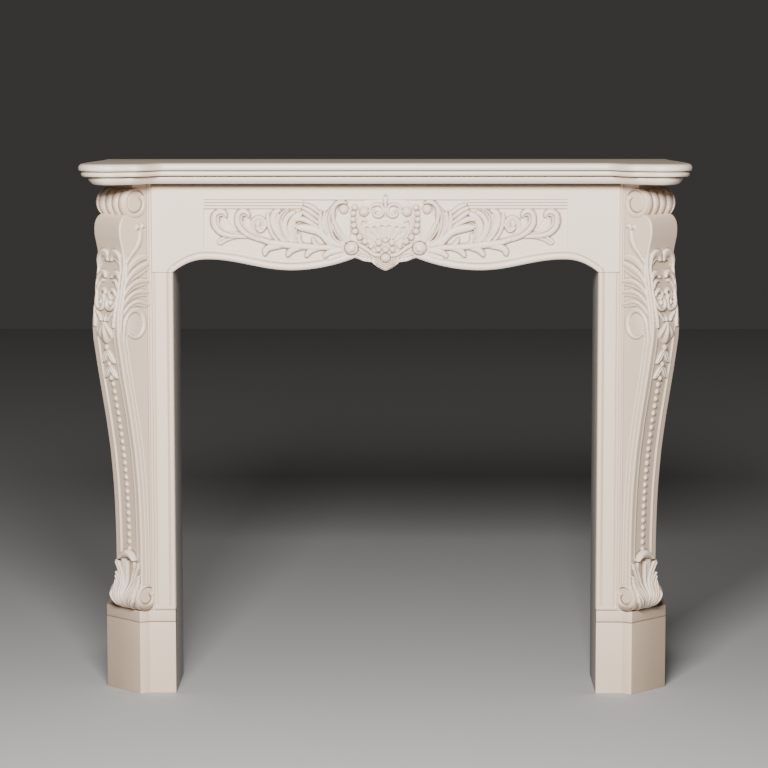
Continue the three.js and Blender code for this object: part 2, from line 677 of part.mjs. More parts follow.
const LOBE_INSET = 12; // root of a lobe behind the face
const LOBE_DROP = 50; // root of a lobe below its name height
const SCROLL_EYE = { r: 14, squash: 0.35 };
const SCROLL_BAND = { r: 19, from: -75, to: 250, stops: 8, wide: 7 };

function consoleChannel() {
  const half = CHANNEL_W / 2;
  const between = FACE.filter(([z]) => z > CHANNEL_FOOT && z < CHANNEL_TOP).map(([z]) => z);
  const rings = [CHANNEL_FOOT, ...between, CHANNEL_TOP].map((z) => [
    frontOf(-half, z, -CHANNEL_DEPTH),
    frontOf(half, z, -CHANNEL_DEPTH),
    frontOf(half, z, CHANNEL_DEPTH),
    frontOf(-half, z, CHANNEL_DEPTH),
  ]);
  return loft(rings);
}

function consoleCarving() {
  const sunk = (a, z, h) => frontOf(a, z, h - CHANNEL_DEPTH);
  const parts = [];
  for (let i = 0; i < PEARL_COUNT; i++) {
    parts.push(ball([0, PEARL_TOP - i * PEARL_PITCH], PEARL_R, PEARL_SIDES, sunk));
  }
  for (const z of HUSK_PEARLS) parts.push(ball([0, z], PEARL_R, PEARL_SIDES, frontOf));
  const { shift, splay, wide, high } = HUSK_LEAF;
  for (const { z, long, half } of HUSKS) {
    for (const k of HUSK_LEAVES) {
      const root = { x: k * half * shift, y: z + long, head: k * splay - 90 };
      parts.push(leaf({ ...root, long, wide: half * wide, high }, frontOf));
    }
  }
  for (const spec of [...CARTOUCHE, ...FOOT_LEAF]) {
    parts.push(leaf(spec, frontOf));
    if (spec.x > 0) parts.push(leaf(spec, mirrored(frontOf)));
  }
  const band = arc(SIDE_SCROLL_W, SIDE_SCROLL_Z, SCROLL_BAND.r, SCROLL_BAND.from, SCROLL_BAND.to);
  for (const place of [innerSide, outerSide]) {
    parts.push(leaf(SIDE_STEM, place));
    for (const z of SIDE_LOBES) {
      parts.push(leaf({ ...SIDE_LOBE, x: faceW(z) - LOBE_INSET, y: z - LOBE_DROP }, place));
    }
    parts.push(ball([SIDE_SCROLL_W, SIDE_SCROLL_Z], SCROLL_EYE.r, BALL_SIDES, place, SCROLL_EYE.squash));
    parts.push(cord(band, SCROLL_BAND.stops, SCROLL_BAND.wide, SIDE_RELIEF, place));
  }
  return join(parts);
}

function consoleBlock() {
  const profile = [...FACE.map(([z, w]) => [w, standing(z)]), [CONSOLE_BACK, LEG_TOP], [CONSOLE_BACK, LEG_Z]];
  return prism(profile, 0, CONSOLE_W, (w, z, u) => [u, w, z])
    .intersect(prism(consolePlan(0), LEG_Z, LEG_TOP))
    .add(roll(VOLUTE_R, VOLUTE_RIBS, VOLUTE_W, standing(VOLUTE_Z)))
    .add(roll(FOOT_R, 1, FOOT_W, LEG_Z + FOOT_R))
    .subtract(consoleChannel())
    .add(consoleCarving())
    .intersect(prism(consolePlan(PROUD), LEG_Z, LEG_TOP));
}

// Plinth

// Moves an open outline in by an even thickness, mitred at its corners
function setIn(points, thickness) {
  const edges = points.slice(1).map(([x, y], i) => {
    const [px, py] = points[i];
    const length = Math.hypot(x - px, y - py);
    return [-(y - py) / length, (x - px) / length];
  });
  return points.map(([x, y], i) => {
    const [ax, ay] = edges[Math.max(i - 1, 0)];
    const [bx, by] = edges[Math.min(i, edges.length - 1)];
    const mitre = thickness / (1 + ax * bx + ay * by);
    return [x + (ax + bx) * mitre, y + (ay + by) * mitre];
  });
}

// Outer plan of the plinth, from the opening round to the wall
function plinthPlan() {
  const bevelX = CONSOLE_X + PLINTH_BEVEL_OUT;
  const noseX = bevelX + PLINTH_NOSE_X;
  return [
    [OPENING_HALF, 0],
    [bevelX, 0],
    [noseX, -PLINTH_NOSE],
    [noseX + PLINTH_CANT, PLINTH_CANT - PLINTH_NOSE],
    [noseX + PLINTH_CANT, LEG_DEPTH],
  ];
}

function plinthBlock(side) {
  const outline = [...plinthPlan(), ...setIn(plinthPlan(), BOARD).reverse()];
  return prism(outline.map(([x, y]) => [x * side, y]), 0, BLOCK_H);
}

// The cap is solid and stops against the inner return
function plinthCap(side) {
  const lining = OPENING_HALF + BOARD + GAP;
  const outline = [...plinthPlan(), [lining, LEG_DEPTH], [lining, BOARD], [OPENING_HALF, BOARD]];
  return prism(outline.map(([x, y]) => [x * side, y]), BLOCK_H + GAP, CAP_TOP);
}

addPiece("shelf_slab", shelfSlab(), SHELF_PAINT);
addPiece("shelf_bed_moulding", bedMoulding(), SHELF_PAINT);
addPiece("frieze_board", friezeBoard(), FRIEZE_PAINT);
const block = consoleBlock();
for (const [label, side] of [["left", -1], ["right", 1]]) {
  addPiece(`${label}_pilaster`, pilaster(side), LEG_PAINT);
  addPiece(`${label}_corner_stile`, cornerStile(side), LEG_PAINT);
  addPiece(`${label}_inner_return`, sideBoard(side, OPENING_HALF, BOARD + GAP, 0), LEG_PAINT);
  const outerFront = RETURN_X - CONSOLE_X;
  addPiece(`${label}_outer_return`, sideBoard(side, RETURN_X - BOARD, outerFront, LEG_Z), LEG_PAINT);
  addPiece(`${label}_plinth_cap`, plinthCap(side), PLINTH_PAINT);
  addPiece(`${label}_plinth_block`, plinthBlock(side), PLINTH_PAINT);
  // The console's axes: U back and outwards, W forwards and outwards
  const canted = new THREE.Group();
  const [u, w, up] = [[side, 1, 0], [side, -1, 0], [0, 0, 1]].map((v) => new THREE.Vector3(...v).normalize());
  canted.applyMatrix4(new THREE.Matrix4().makeBasis(u, w, up).setPosition(side * CONSOLE_X, 0, 0));
  model.add(canted);
  addPiece(`${label}_console`, block, LEG_PAINT, canted);
}

export default scene;
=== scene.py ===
# %% [markdown]
# # A carved and painted mantelpiece
# The mantelpiece is a wooden fire surround in cream antique paint. Its plain
# boards came from the CAD model, which is loaded first as a fixed frame, so
# every piece made here already knows its place in metres.

# %% Load the frame
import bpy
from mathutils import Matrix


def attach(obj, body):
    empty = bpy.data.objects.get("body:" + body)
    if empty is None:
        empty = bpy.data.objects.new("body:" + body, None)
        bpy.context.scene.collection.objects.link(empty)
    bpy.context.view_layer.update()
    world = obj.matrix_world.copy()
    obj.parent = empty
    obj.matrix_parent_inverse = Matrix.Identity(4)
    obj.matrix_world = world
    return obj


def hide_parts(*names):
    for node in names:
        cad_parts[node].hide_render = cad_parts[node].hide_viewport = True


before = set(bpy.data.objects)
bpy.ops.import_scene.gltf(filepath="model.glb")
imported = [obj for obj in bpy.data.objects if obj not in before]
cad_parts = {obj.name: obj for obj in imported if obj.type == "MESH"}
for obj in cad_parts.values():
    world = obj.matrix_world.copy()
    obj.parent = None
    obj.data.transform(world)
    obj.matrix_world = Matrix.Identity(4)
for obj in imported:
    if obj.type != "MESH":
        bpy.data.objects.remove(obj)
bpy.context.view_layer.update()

# %% [markdown]
# Sizes are written in millimetres, as a joiner would, and turned into metres
# when a mesh is kept. The numbers are the ones that the CAD model uses, so a
# finished piece takes exactly the place of its plain solid.

# %% Shared sizes
import math
import bmesh
import bpy
import numpy as np
from mathutils import Matrix, Vector

MM = 0.001
FACE_Y = -20.0  # the faces of the pilasters and of the frieze
WALL_Y = 160.0
HALF_WIDTH = 605.0
OPENING = 428.0  # centre line to the inner face of a leg
BOARD = 20.0
GAP = 0.3
LEG_Z = 172.1
LEG_TOP = 1040.8
SPRING_Z = 861.3
CONSOLE_X = 480.0
CONSOLE_W = 82.0
OUTER_X = 545.0  # outer face of the board that runs back behind a console
RETURN_BACK = 65.0  # its front edge, behind the faces
SIDES = (("left", -1), ("right", 1))
print("shelf", 2 * HALF_WIDTH, "mm wide, opening", 2 * OPENING, "mm")

# %% [markdown]
# Every piece is finished in the same way: the mesh gets smooth shading, its
# hard edges are marked by their angle, and the piece is tied to the body that
# carries it. Keeping this in one helper means that no piece is forgotten.

# %% Keep a piece
def keep(name, bm, node, material, sharp=35.0, weld=0.01):
    """Turns a bmesh in millimetres into a finished piece that takes a node's place."""
    bmesh.ops.remove_doubles(bm, verts=bm.verts, dist=weld)
    bmesh.ops.scale(bm, vec=(MM, MM, MM), verts=bm.verts)
    mesh = bpy.data.meshes.new(name)
    bm.to_mesh(mesh)
    bm.free()
    mesh.materials.append(material)
    mesh.polygons.foreach_set("use_smooth", [len(face.vertices) <= 4 for face in mesh.polygons])
    mesh.set_sharp_from_angle(angle=math.radians(sharp))
    piece = bpy.data.objects.new(name, mesh)
    bpy.context.collection.objects.link(piece)
    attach(piece, "root")
    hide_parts(node)
    print(name, len(mesh.polygons), "faces")
    return piece


# %% [markdown]
# ## Camera
# The camera stands about five and a half metres away, a little right of the
# middle and above the shelf, and looks slightly down. Its place and its long
# lens came from fitting straight edges of the surround.

# %% Camera
IMAGE_PX = 768
FOCAL_PX = 2789.1
PITCH, YAW, ROLL = 0.11272, -0.00974, 0.00063
EYE = Vector((0.0513, -5.6139, 1.2693))

look = Vector((math.sin(YAW), math.cos(YAW), 0.0))
right = Vector((math.cos(YAW), -math.sin(YAW), 0.0))
above = Vector((0.0, 0.0, 1.0))
ahead = look * math.cos(PITCH) - above * math.sin(PITCH)
above = above * math.cos(PITCH) + look * math.sin(PITCH)
across = right * math.cos(ROLL) - above * math.sin(ROLL)
above = above * math.cos(ROLL) + right * math.sin(ROLL)

lens = bpy.data.cameras.new("camera")
lens.sensor_width = 36.0
lens.lens = FOCAL_PX / IMAGE_PX * lens.sensor_width
lens.clip_end = 50.0
camera = bpy.data.objects.new("camera", lens)
turn = Matrix((across, above, -ahead)).transposed()
camera.matrix_world = Matrix.Translation(EYE) @ turn.to_4x4()
bpy.context.collection.objects.link(camera)
bpy.context.scene.camera = camera
print("camera at", tuple(round(v, 3) for v in EYE), "lens", round(lens.lens, 1))


# %% [markdown]
# ## Paint
# The wood is hidden under satin cream paint. Three things keep it from looking
# like plastic: faint brush streaks, a warm brown glaze that was wiped off the
# high places and stayed in the recesses, and slightly lighter, drier edges.
# The same brown also paints shade under overhangs and on faces turned from the
# light. Each effect is a small shader group, so every material can share it.

# %% Shader helpers
def link(tree, out_socket, in_socket):
    tree.links.new(out_socket, in_socket)


def new_group(name, inputs, outputs):
    group = bpy.data.node_groups.new(name, "ShaderNodeTree")
    for label, kind, value in inputs:
        socket = group.interface.new_socket(name=label, in_out="INPUT", socket_type=kind)
        if value is not None:
            socket.default_value = value
    for label, kind in outputs:
        group.interface.new_socket(name=label, in_out="OUTPUT", socket_type=kind)
    return group, group.nodes.new("NodeGroupInput"), group.nodes.new("NodeGroupOutput")


def math_node(tree, operation, a, b=None, clamp=False):
    node = tree.nodes.new("ShaderNodeMath")
    node.operation = operation
    node.use_clamp = clamp
    for socket, value in zip(node.inputs, (a, b)):
        if value is None:
            continue
        if isinstance(value, (int, float)):
            socket.default_value = value
        else:
            link(tree, value, socket)
    return node.outputs[0]


def mix_colour(tree, factor, a, b):
    node = tree.nodes.new("ShaderNodeMix")
    node.data_type = "RGBA"
    for socket, value in zip((node.inputs[0], node.inputs[6], node.inputs[7]), (factor, a, b)):
        if isinstance(value, (int, float, tuple)):
            socket.default_value = value
        else:
            link(tree, value, socket)
    return node.outputs[2]


# %% [markdown]
# A brush leaves fine hair lines along its stroke and slow clouds where the
# paint is thicker. Two noise textures make them. The material that uses the
# group squeezes the place it hands over, so the lines run the way the brush did.

# %% Brush streaks
CLOUD_SCALE = 0.035


def brush_streaks():
    group, given, made = new_group(
        "brush_streaks",
        [("Vector", "NodeSocketVector", None), ("Depth", "NodeSocketFloat", 1.0)],
        [("Tone", "NodeSocketFloat"), ("Height", "NodeSocketFloat")],
    )
    hairs = group.nodes.new("ShaderNodeTexNoise")
    hairs.inputs["Scale"].default_value = 1.0
    hairs.inputs["Detail"].default_value = 5.0
    hairs.inputs["Roughness"].default_value = 0.6
    link(group, given.outputs["Vector"], hairs.inputs["Vector"])
    cloud = group.nodes.new("ShaderNodeTexNoise")
    cloud.inputs["Scale"].default_value = CLOUD_SCALE
    cloud.inputs["Detail"].default_value = 3.0
    link(group, given.outputs["Vector"], cloud.inputs["Vector"])
    tone = math_node(group, "MULTIPLY_ADD", hairs.outputs["Fac"], 0.6)
    tone.node.inputs[2].default_value = -0.1
    both = math_node(group, "ADD", tone, math_node(group, "MULTIPLY", cloud.outputs["Fac"], 0.6))
    link(group, both, made.inputs["Tone"])
    height = math_node(group, "MULTIPLY", hairs.outputs["Fac"], given.outputs["Depth"])
    link(group, height, made.inputs["Height"])
    return group


STREAKS = brush_streaks()
print("group", STREAKS.name)


# %% [markdown]
# Antique glaze is thin brown stain, brushed over the cream and wiped off again.
# It could be painted by hand, but here each mesh says how deep a point lies and
# how proud it stands, and this group turns that into colour. The same brown
# also paints shade, where the meshes mark it and on faces that turn away.

# %% Antique glaze and painted shade
GLAZE_AND_SHADE_BROWN = (0.21, 0.14, 0.088, 1.0)
WORN_CREAM = (0.9, 0.86, 0.8, 1.0)
WEAR = 0.35


def antique_glaze_and_shade():
    group, given, made = new_group(
        "antique_glaze_and_shade",
        [
            ("Paint", "NodeSocketColor", WORN_CREAM),
            ("Glaze and shade brown", "NodeSocketColor", GLAZE_AND_SHADE_BROWN),
            ("Tone", "NodeSocketFloat", 0.5),
            ("Recess", "NodeSocketFloat", 0.0),
            ("Ridge", "NodeSocketFloat", 0.0),
            ("Strength", "NodeSocketFloat", 1.0),
            ("Turn shade", "NodeSocketFloat", 0.0),
        ],
        [("Colour", "NodeSocketColor"), ("Glaze and shade", "NodeSocketFloat")],
    )
    deep = math_node(group, "POWER", given.outputs["Recess"], 1.3)
    deep = math_node(group, "MULTIPLY", deep, given.outputs["Strength"])
    patchy = math_node(group, "MULTIPLY_ADD", given.outputs["Tone"], 0.9)
    patchy.node.inputs[2].default_value = 0.55
    glaze_and_shade = math_node(group, "MULTIPLY", deep, patchy, clamp=True)
    patches_and_shade = math_node(group, "MULTIPLY_ADD", given.outputs["Tone"], 0.10)
    patches_and_shade.node.inputs[2].default_value = -0.02
    # painted shade from the turn of a face is added to the random patches of brown
    patches_and_shade = math_node(group, "ADD", patches_and_shade, given.outputs["Turn shade"], clamp=True)
    painted_shading = mix_colour(group, patches_and_shade, given.outputs["Paint"], given.outputs["Glaze and shade brown"])
    glazed_and_shaded = mix_colour(group, glaze_and_shade, painted_shading, given.outputs["Glaze and shade brown"])
    worn = math_node(group, "MULTIPLY", given.outputs["Ridge"], WEAR, clamp=True)
    link(group, mix_colour(group, worn, glazed_and_shaded, WORN_CREAM), made.inputs["Colour"])
    link(group, glaze_and_shade, made.inputs["Glaze and shade"])
    return group


GLAZE_AND_SHADE = antique_glaze_and_shade()
print("group", GLAZE_AND_SHADE.name)


# %% [markdown]
# Plain boards have no carved recess, so their joints are glazed by place: a
# thin brown line wherever the height is near one of a few named joints. Faces
# that look outwards, inwards or up are also darkened with the same brown, as
# painted shade for faces that are turned away from the light.

# %% Glaze and painted shade by place
SIDEWAYS, SIDE_GAIN = 0.35, 2.8  # a face's turn where the painted shade starts, and how fast it grows
UPWARDS, TOP_GAIN = 0.7, 3.4


def joint_line(tree, height, at, half):
    """1 on a joint, falling to 0 at half its width away."""
    away = math_node(tree, "ABSOLUTE", math_node(tree, "SUBTRACT", height, at))
    return math_node(tree, "SUBTRACT", 1.0, math_node(tree, "DIVIDE", away, half), clamp=True)


def beyond(tree, value, start, gain):
    """0 up to the start, then rising to 1."""
    return math_node(tree, "MULTIPLY", math_node(tree, "SUBTRACT", value, start), gain, clamp=True)


def painted_turn_shade(tree, normal, position, shade_by_turn):
    """How much painted shade lies on faces that look outwards, inwards and up."""
    outwards, inwards, upwards = shade_by_turn
    split = tree.nodes.new("ShaderNodeSeparateXYZ")
    link(tree, normal, split.inputs["Vector"])
    side = math_node(tree, "SIGN", position)
    lean = math_node(tree, "MULTIPLY", split.outputs["X"], side)
    out = beyond(tree, lean, SIDEWAYS, SIDE_GAIN)
    back = beyond(tree, math_node(tree, "MULTIPLY", lean, -1.0), SIDEWAYS, SIDE_GAIN)
    top = beyond(tree, split.outputs["Z"], UPWARDS, TOP_GAIN)
    out = math_node(tree, "MULTIPLY", out, outwards)
    back = math_node(tree, "MULTIPLY", back, inwards)
    top = math_node(tree, "MULTIPLY", top, upwards)
    return math_node(tree, "ADD", math_node(tree, "ADD", out, back), top)


# %% [markdown]
# A paint material reads where a point is on the piece, squeezes that place
# along the brush's direction, and asks the two groups for colour and height.
# Glazed places are a little rougher than the satin paint round them.

# %% Paint material
BUMP_STRENGTH, BUMP_DISTANCE = 0.25, 0.0004
GLAZE_ROUGHER, STREAK_ROUGHER = 0.25, 0.10
COAT, COAT_ROUGHNESS = 0.12, 0.35


def paint(name, colour, roughness, squeeze, joints=(), shade_by_turn=(0.0, 0.0, 0.0)):
    """Satin paint. Joints are height, half width and strength; the painted shade is outwards, inwards, up.
    """
    material = bpy.data.materials.new(name)
    material.use_nodes = True
    tree = material.node_tree
    shader = tree.nodes["Principled BSDF"]
    place = tree.nodes.new("ShaderNodeTexCoord")
    mapping = tree.nodes.new("ShaderNodeMapping")
    mapping.inputs["Scale"].default_value = squeeze
    link(tree, place.outputs["Object"], mapping.inputs["Vector"])
    streaks = tree.nodes.new("ShaderNodeGroup")
    streaks.node_tree = STREAKS
    link(tree, mapping.outputs["Vector"], streaks.inputs["Vector"])
    recess = tree.nodes.new("ShaderNodeAttribute")
    recess.attribute_name = "recess"
    ridge = tree.nodes.new("ShaderNodeAttribute")
    ridge.attribute_name = "ridge"
    hollow = recess.outputs["Fac"]
    split = tree.nodes.new("ShaderNodeSeparateXYZ")
    link(tree, place.outputs["Object"], split.inputs["Vector"])
    for at, half, amount in joints:
        line = math_node(tree, "MULTIPLY", joint_line(tree, split.outputs["Z"], at * MM, half * MM), amount)
        hollow = math_node(tree, "MAXIMUM", hollow, line)
    glazed_and_shaded = tree.nodes.new("ShaderNodeGroup")
    glazed_and_shaded.node_tree = GLAZE_AND_SHADE
    glazed_and_shaded.inputs["Paint"].default_value = (*colour, 1.0)
    glazed_and_shaded.inputs["Glaze and shade brown"].default_value = GLAZE_AND_SHADE_BROWN
    link(tree, streaks.outputs["Tone"], glazed_and_shaded.inputs["Tone"])
    link(tree, hollow, glazed_and_shaded.inputs["Recess"])
    link(tree, ridge.outputs["Fac"], glazed_and_shaded.inputs["Ridge"])
    # painted shade on faces turned outwards, inwards or up
    painted_shading = painted_turn_shade(tree, place.outputs["Normal"], split.outputs["X"], shade_by_turn)
    link(tree, painted_shading, glazed_and_shaded.inputs["Turn shade"])
    link(tree, glazed_and_shaded.outputs["Colour"], shader.inputs["Base Color"])
    rough = math_node(tree, "MULTIPLY_ADD", glazed_and_shaded.outputs["Glaze and shade"], GLAZE_ROUGHER)
    rough.node.inputs[2].default_value = roughness
    streaky = math_node(tree, "MULTIPLY_ADD", streaks.outputs["Tone"], STREAK_ROUGHER)
    link(tree, rough, streaky.node.inputs[2])
    link(tree, streaky, shader.inputs["Roughness"])
    relief = tree.nodes.new("ShaderNodeBump")
    relief.inputs["Strength"].default_value = BUMP_STRENGTH
    relief.inputs["Distance"].default_value = BUMP_DISTANCE
    link(tree, streaks.outputs["Height"], relief.inputs["Height"])
    link(tree, relief.outputs["Normal"], shader.inputs["Normal"])
    shader.inputs["Coat Weight"].default_value = COAT
    shader.inputs["Coat Roughness"].default_value = COAT_ROUGHNESS
    print("paint", name)
    return material


# %% [markdown]
# One cream serves the whole surround, but the brush runs along each board, and
# the cream is painted a little darker towards the floor, as painted shade where
# the light falls off. The boards that line the opening are a dark cream, as
# painted shade for the dark opening.

# %% The paints
ALONG_X = (60.0, 420.0, 420.0)
ALONG_Z = (420.0, 420.0, 60.0)
EVEN = (260.0, 260.0, 260.0)
# The last numbers are painted shade: on the shelf's top and ends, and on the turned faces of the consoles
# and plinths.
SHELF_PAINT = paint("shelf_cream", (0.87, 0.735, 0.61), 0.36, ALONG_X, shade_by_turn=(0.10, 0.0, 0.45))
FRIEZE_PAINT = paint("frieze_cream", (0.88, 0.71, 0.575), 0.42, ALONG_X)
LEG_PAINT = paint("leg_cream", (0.87, 0.69, 0.54), 0.42, ALONG_Z)
CARVED_PAINT = paint("carved_cream", (0.84, 0.66, 0.515), 0.42, EVEN, shade_by_turn=(0.34, 0.2, 0.0))
RETURN_PAINT = paint("return_cream", (0.80, 0.65, 0.52), 0.46, ALONG_Z)
# painted shade: the boards inside the opening are a dark cream
SHADED_REVEAL_PAINT = paint("shade_dark_cream", (0.27, 0.245, 0.225), 0.52, ALONG_Z)
PLINTH_JOINTS = ((148.1, 2.2, 1.0), (172.0, 1.6, 0.9))
# the plinth cream is darker than the legs, as painted shade towards the floor
PLINTH_PAINT = paint("plinth_cream", (0.81, 0.63, 0.48), 0.44, ALONG_X, PLINTH_JOINTS, (0.56, 0.9, 0.0))


# %% [markdown]
# ## Shelf
# The shelf is a thick board with a moulded edge. Its plan steps forward at
# each end and swells into rounded ears. A router would run one profile right
# round that plan. So the plan is drawn first, as a front line, a step, a swell,
# a rounded corner and a side that draws in a little towards the wall.

# %% Plan of the shelf
SHELF_REACH = 66.0
EAR_STEP = 58.0
EAR_SWELL = 16.0
BREAK_X = 463.0
BREAK_HALF = 26.0
BREAK_SHIFT = 0.7
EAR_X = 545.0  # the middle of an ear
CORNER_R = 54.0
SIDE_WAIST = 22.0


def ease(s):
    """Runs from 0 to 1 with a soft start and a soft end."""
    return (1 - np.cos(np.pi * np.clip(s, 0, 1))) / 2


def half_plan(inset):
    """The right half of the shelf's outline, set in by some millimetres."""
    middle = SHELF_REACH - inset
    break_x = BREAK_X + inset * BREAK_SHIFT
    half = HALF_WIDTH - inset
    front = SHELF_REACH + EAR_STEP + EAR_SWELL - inset
    points = [(x, -middle) for x in np.linspace(0, break_x - BREAK_HALF, 8)[:-1]]
    for s in np.linspace(0, 1, 17):
        points.append((break_x + BREAK_HALF * (2 * s - 1), -(middle + EAR_STEP * ease(s))))
    start = break_x + BREAK_HALF
    for s in np.linspace(0, 1, 12)[1:-1]:
        points.append((start + (EAR_X - start) * s, -(middle + EAR_STEP + EAR_SWELL * ease(s))))
    for angle in np.linspace(0, 1, 21) * (math.pi / 2):
        out = EAR_X + (half - EAR_X) * math.sin(angle)
        points.append((out, -(front - CORNER_R * (1 - math.cos(angle)))))
    back = WALL_Y - FACE_Y
    for s in np.linspace(0, 1, 13)[1:]:
        points.append((half - SIDE_WAIST * ease(s), CORNER_R - front + (back - CORNER_R + front) * s))
    return [(x, y + FACE_Y) for x, y in points]


def ring_round(points, inner=()):
    """Mirrors a half outline to a whole one, with an inner line where there is one."""
    left = [(-x, y) for x, y in points[:0:-1]]
    return left + list(points) + list(inner)


print("half plan of the shelf:", len(half_plan(0)), "points")

# %% [markdown]
# The mesh is made as the router would make the shelf: the outline is drawn
# once, then extruded upwards step by step, each new ring set in to follow the
# profile. The same helper makes every board that has one section throughout.

# %% Rings extruded to a profile
def extrude_rings(rings, heights, marks):
    """Draws the first ring, then extrudes it from ring to ring and marks its recesses."""
    bm = bmesh.new()
    recess = bm.verts.layers.float.new("recess")
    verts = [bm.verts.new((x, y, heights[0])) for x, y in rings[0]]
    for v in verts:
        v[recess] = marks[0]
    edges = [bm.edges.new((a, b)) for a, b in zip(verts, verts[1:] + verts[:1])]
    bmesh.ops.contextual_create(bm, geom=edges)
    for ring, z, mark in zip(rings[1:], heights[1:], marks[1:]):
        grown = bmesh.ops.extrude_edge_only(bm, edges=edges)["geom"]
        edges = [e for e in grown if isinstance(e, bmesh.types.BMEdge)]
        old_to_new = {}
        for face in {f for e in edges for f in e.link_faces}:
            for e in face.edges:
                a, b = e.verts
                if (a in verts) != (b in verts):
                    old, new = (a, b) if a in verts else (b, a)
                    old_to_new[old] = new
        verts = [old_to_new[v] for v in verts]
        for v, (x, y) in zip(verts, ring):
            v.co = (x, y, z)
            v[recess] = mark
    bmesh.ops.contextual_create(bm, geom=edges)
    bmesh.ops.recalc_face_normals(bm, faces=bm.faces)
    return bm


# %% [markdown]
# The shelf has two parts: the slab with a bull nose over a small cove, and the
# bed moulding below it, a hollow frame that hides the joint with the frieze.
# Each profile lists how far it is set in, how high it is and how much glaze
# stays there.

# %% Slab and bed moulding
SLAB_Z = 1057.0
BED_Z = 1041.1
SLAB_EDGE = (
    (14.0, 0.0, 0.9), (8.5, 0.3, 0.5), (6.2, 1.5, 0.1), (5.0, 3.4, 0), (4.6, 5.6, 0), (5.0, 7.8, 0),
    (6.2, 9.4, 0.4), (7.6, 10.3, 1), (7.6, 11.1, 1), (3.0, 11.6, 0.6), (1.4, 12.6, 0.1), (0.4, 14.4, 0),
    (0.0, 16.6, 0), (0.1, 18.8, 0), (0.8, 21.0, 0), (2.2, 23.2, 0), (4.4, 24.9, 0), (7.2, 25.8, 0),
    (10.0, 26.0, 0),
)
BED_EDGE = (
    (30.0, 0.0, 0.8), (27.5, 0.4, 0.3), (24.6, 1.9, 0), (21.8, 4.1, 0), (19.6, 6.8, 0), (18.0, 9.6, 0),
    (17.2, 12.2, 0), (17.6, 14.0, 0.2), (19.0, 15.1, 0.7), (21.0, 15.6, 1),
)
BED_HOLLOW_X, BED_HOLLOW_Y = 400.0, 26.0
BED_INNER = [
    (BED_HOLLOW_X, WALL_Y), (BED_HOLLOW_X, BED_HOLLOW_Y),
    (-BED_HOLLOW_X, BED_HOLLOW_Y), (-BED_HOLLOW_X, WALL_Y),
]


def moulding(bottom, edge, inner=()):
    """Runs a moulded edge round the plan of the shelf."""
    rings = [ring_round(half_plan(inset), inner) for inset, _, _ in edge]
    return extrude_rings(rings, [bottom + rise for _, rise, _ in edge], [mark for _, _, mark in edge])


slab = moulding(SLAB_Z, SLAB_EDGE)
keep("shelf_slab_painted", slab, "shelf_slab", SHELF_PAINT)
bed = moulding(BED_Z, BED_EDGE, BED_INNER)
keep("shelf_bed_painted", bed, "shelf_bed_moulding", SHELF_PAINT)


# %% [markdown]
# ## Carving
# The carver works a flat ground down and leaves leaves standing, each a ridge
# that swells, bends and runs out. A height field does the same: a fine sheet
# of points, where each leaf lifts the points under it. A leaf is a smooth path
# with a width at every stop.

# %% Paths and leaves
def smooth_path(stops, steps=7):
    """Runs a smooth curve through the stops, which hold a place and a width."""
    p = np.array(stops, float)
    p = np.vstack([2 * p[0] - p[1], p, 2 * p[-1] - p[-2]])
    out = []
    for a, b, c, d in zip(p, p[1:], p[2:], p[3:]):
        for t in np.arange(steps) / steps:
            bend = (2 * a - 5 * b + 4 * c - d) * t**2 + (3 * b - a - 3 * c + d) * t**3
            out.append(0.5 * (2 * b + (c - a) * t + bend))
    out.append(p[-2])
    return np.array(out)


def measure(px, py, path):
    """Distance to a path, how far along it, and on which side (left is +1)."""
    xy, half = path[:, :2], np.maximum(path[:, 2] / 2, 0.4)
    step = np.hypot(*np.diff(xy, axis=0).T)
    run = np.concatenate([[0], np.cumsum(step)])
    best = np.full(px.shape, 1e9)
    at = np.zeros(px.shape)
    side = np.ones(px.shape)
    for i, (dx, dy) in enumerate(np.diff(xy, axis=0)):
        t = ((px - xy[i, 0]) * dx + (py - xy[i, 1]) * dy) / max(dx * dx + dy * dy, 1e-9)
        t = np.clip(t, 0, 1)
        qx, qy = px - xy[i, 0] - t * dx, py - xy[i, 1] - t * dy
        away = np.hypot(qx, qy) / (half[i] + t * (half[i + 1] - half[i]))
        closer = away < best
        best = np.where(closer, away, best)
        at = np.where(closer, run[i] + t * step[i], at)
        side = np.where(closer, np.sign(dx * qy - dy * qx), side)
    return best, at / run[-1], side


# %% [markdown]
# A leaf's cross-section says how it was cut: round like a cord, gouged along
# its length so that its lips stay high, or leaning so that one lip stands up
# and throws a shadow. The section is a formula, so one number changes a leaf.

# %% Cross-sections
def section(kind, r, side):
    """Height across a leaf, from its middle at 0 to its edges at 1."""
    across = r * side
    round_top = np.sqrt(np.clip(1 - r**2, 0, 1))
    body = np.sqrt(np.clip(1 - r**4, 0, 1))
    if kind == "round":
        return round_top
    if kind == "flat":
        return np.clip((1 - r) * 5, 0, 1) ** 0.5
    if kind == "gouge":
        return body * (1 - 0.45 * np.exp(-((across / 0.28) ** 2)))
    if kind == "barb":
        return body * (0.66 - 0.34 * across - 0.26 * np.exp(-(((across - 0.25) / 0.17) ** 2)))
    if kind == "vein":
        return body * (1 - 0.42 * np.exp(-(((across - 0.42) / 0.17) ** 2)) - 0.18 * np.clip(across, 0, 1))
    if kind == "lip":
        return body * (0.62 + 0.38 * across)
    if kind == "lip_in":
        return body * (0.62 - 0.38 * across)
    return body


print("a gouged leaf, middle to edge:", section("gouge", np.array([0, 0.4, 0.8]), 1).round(2))


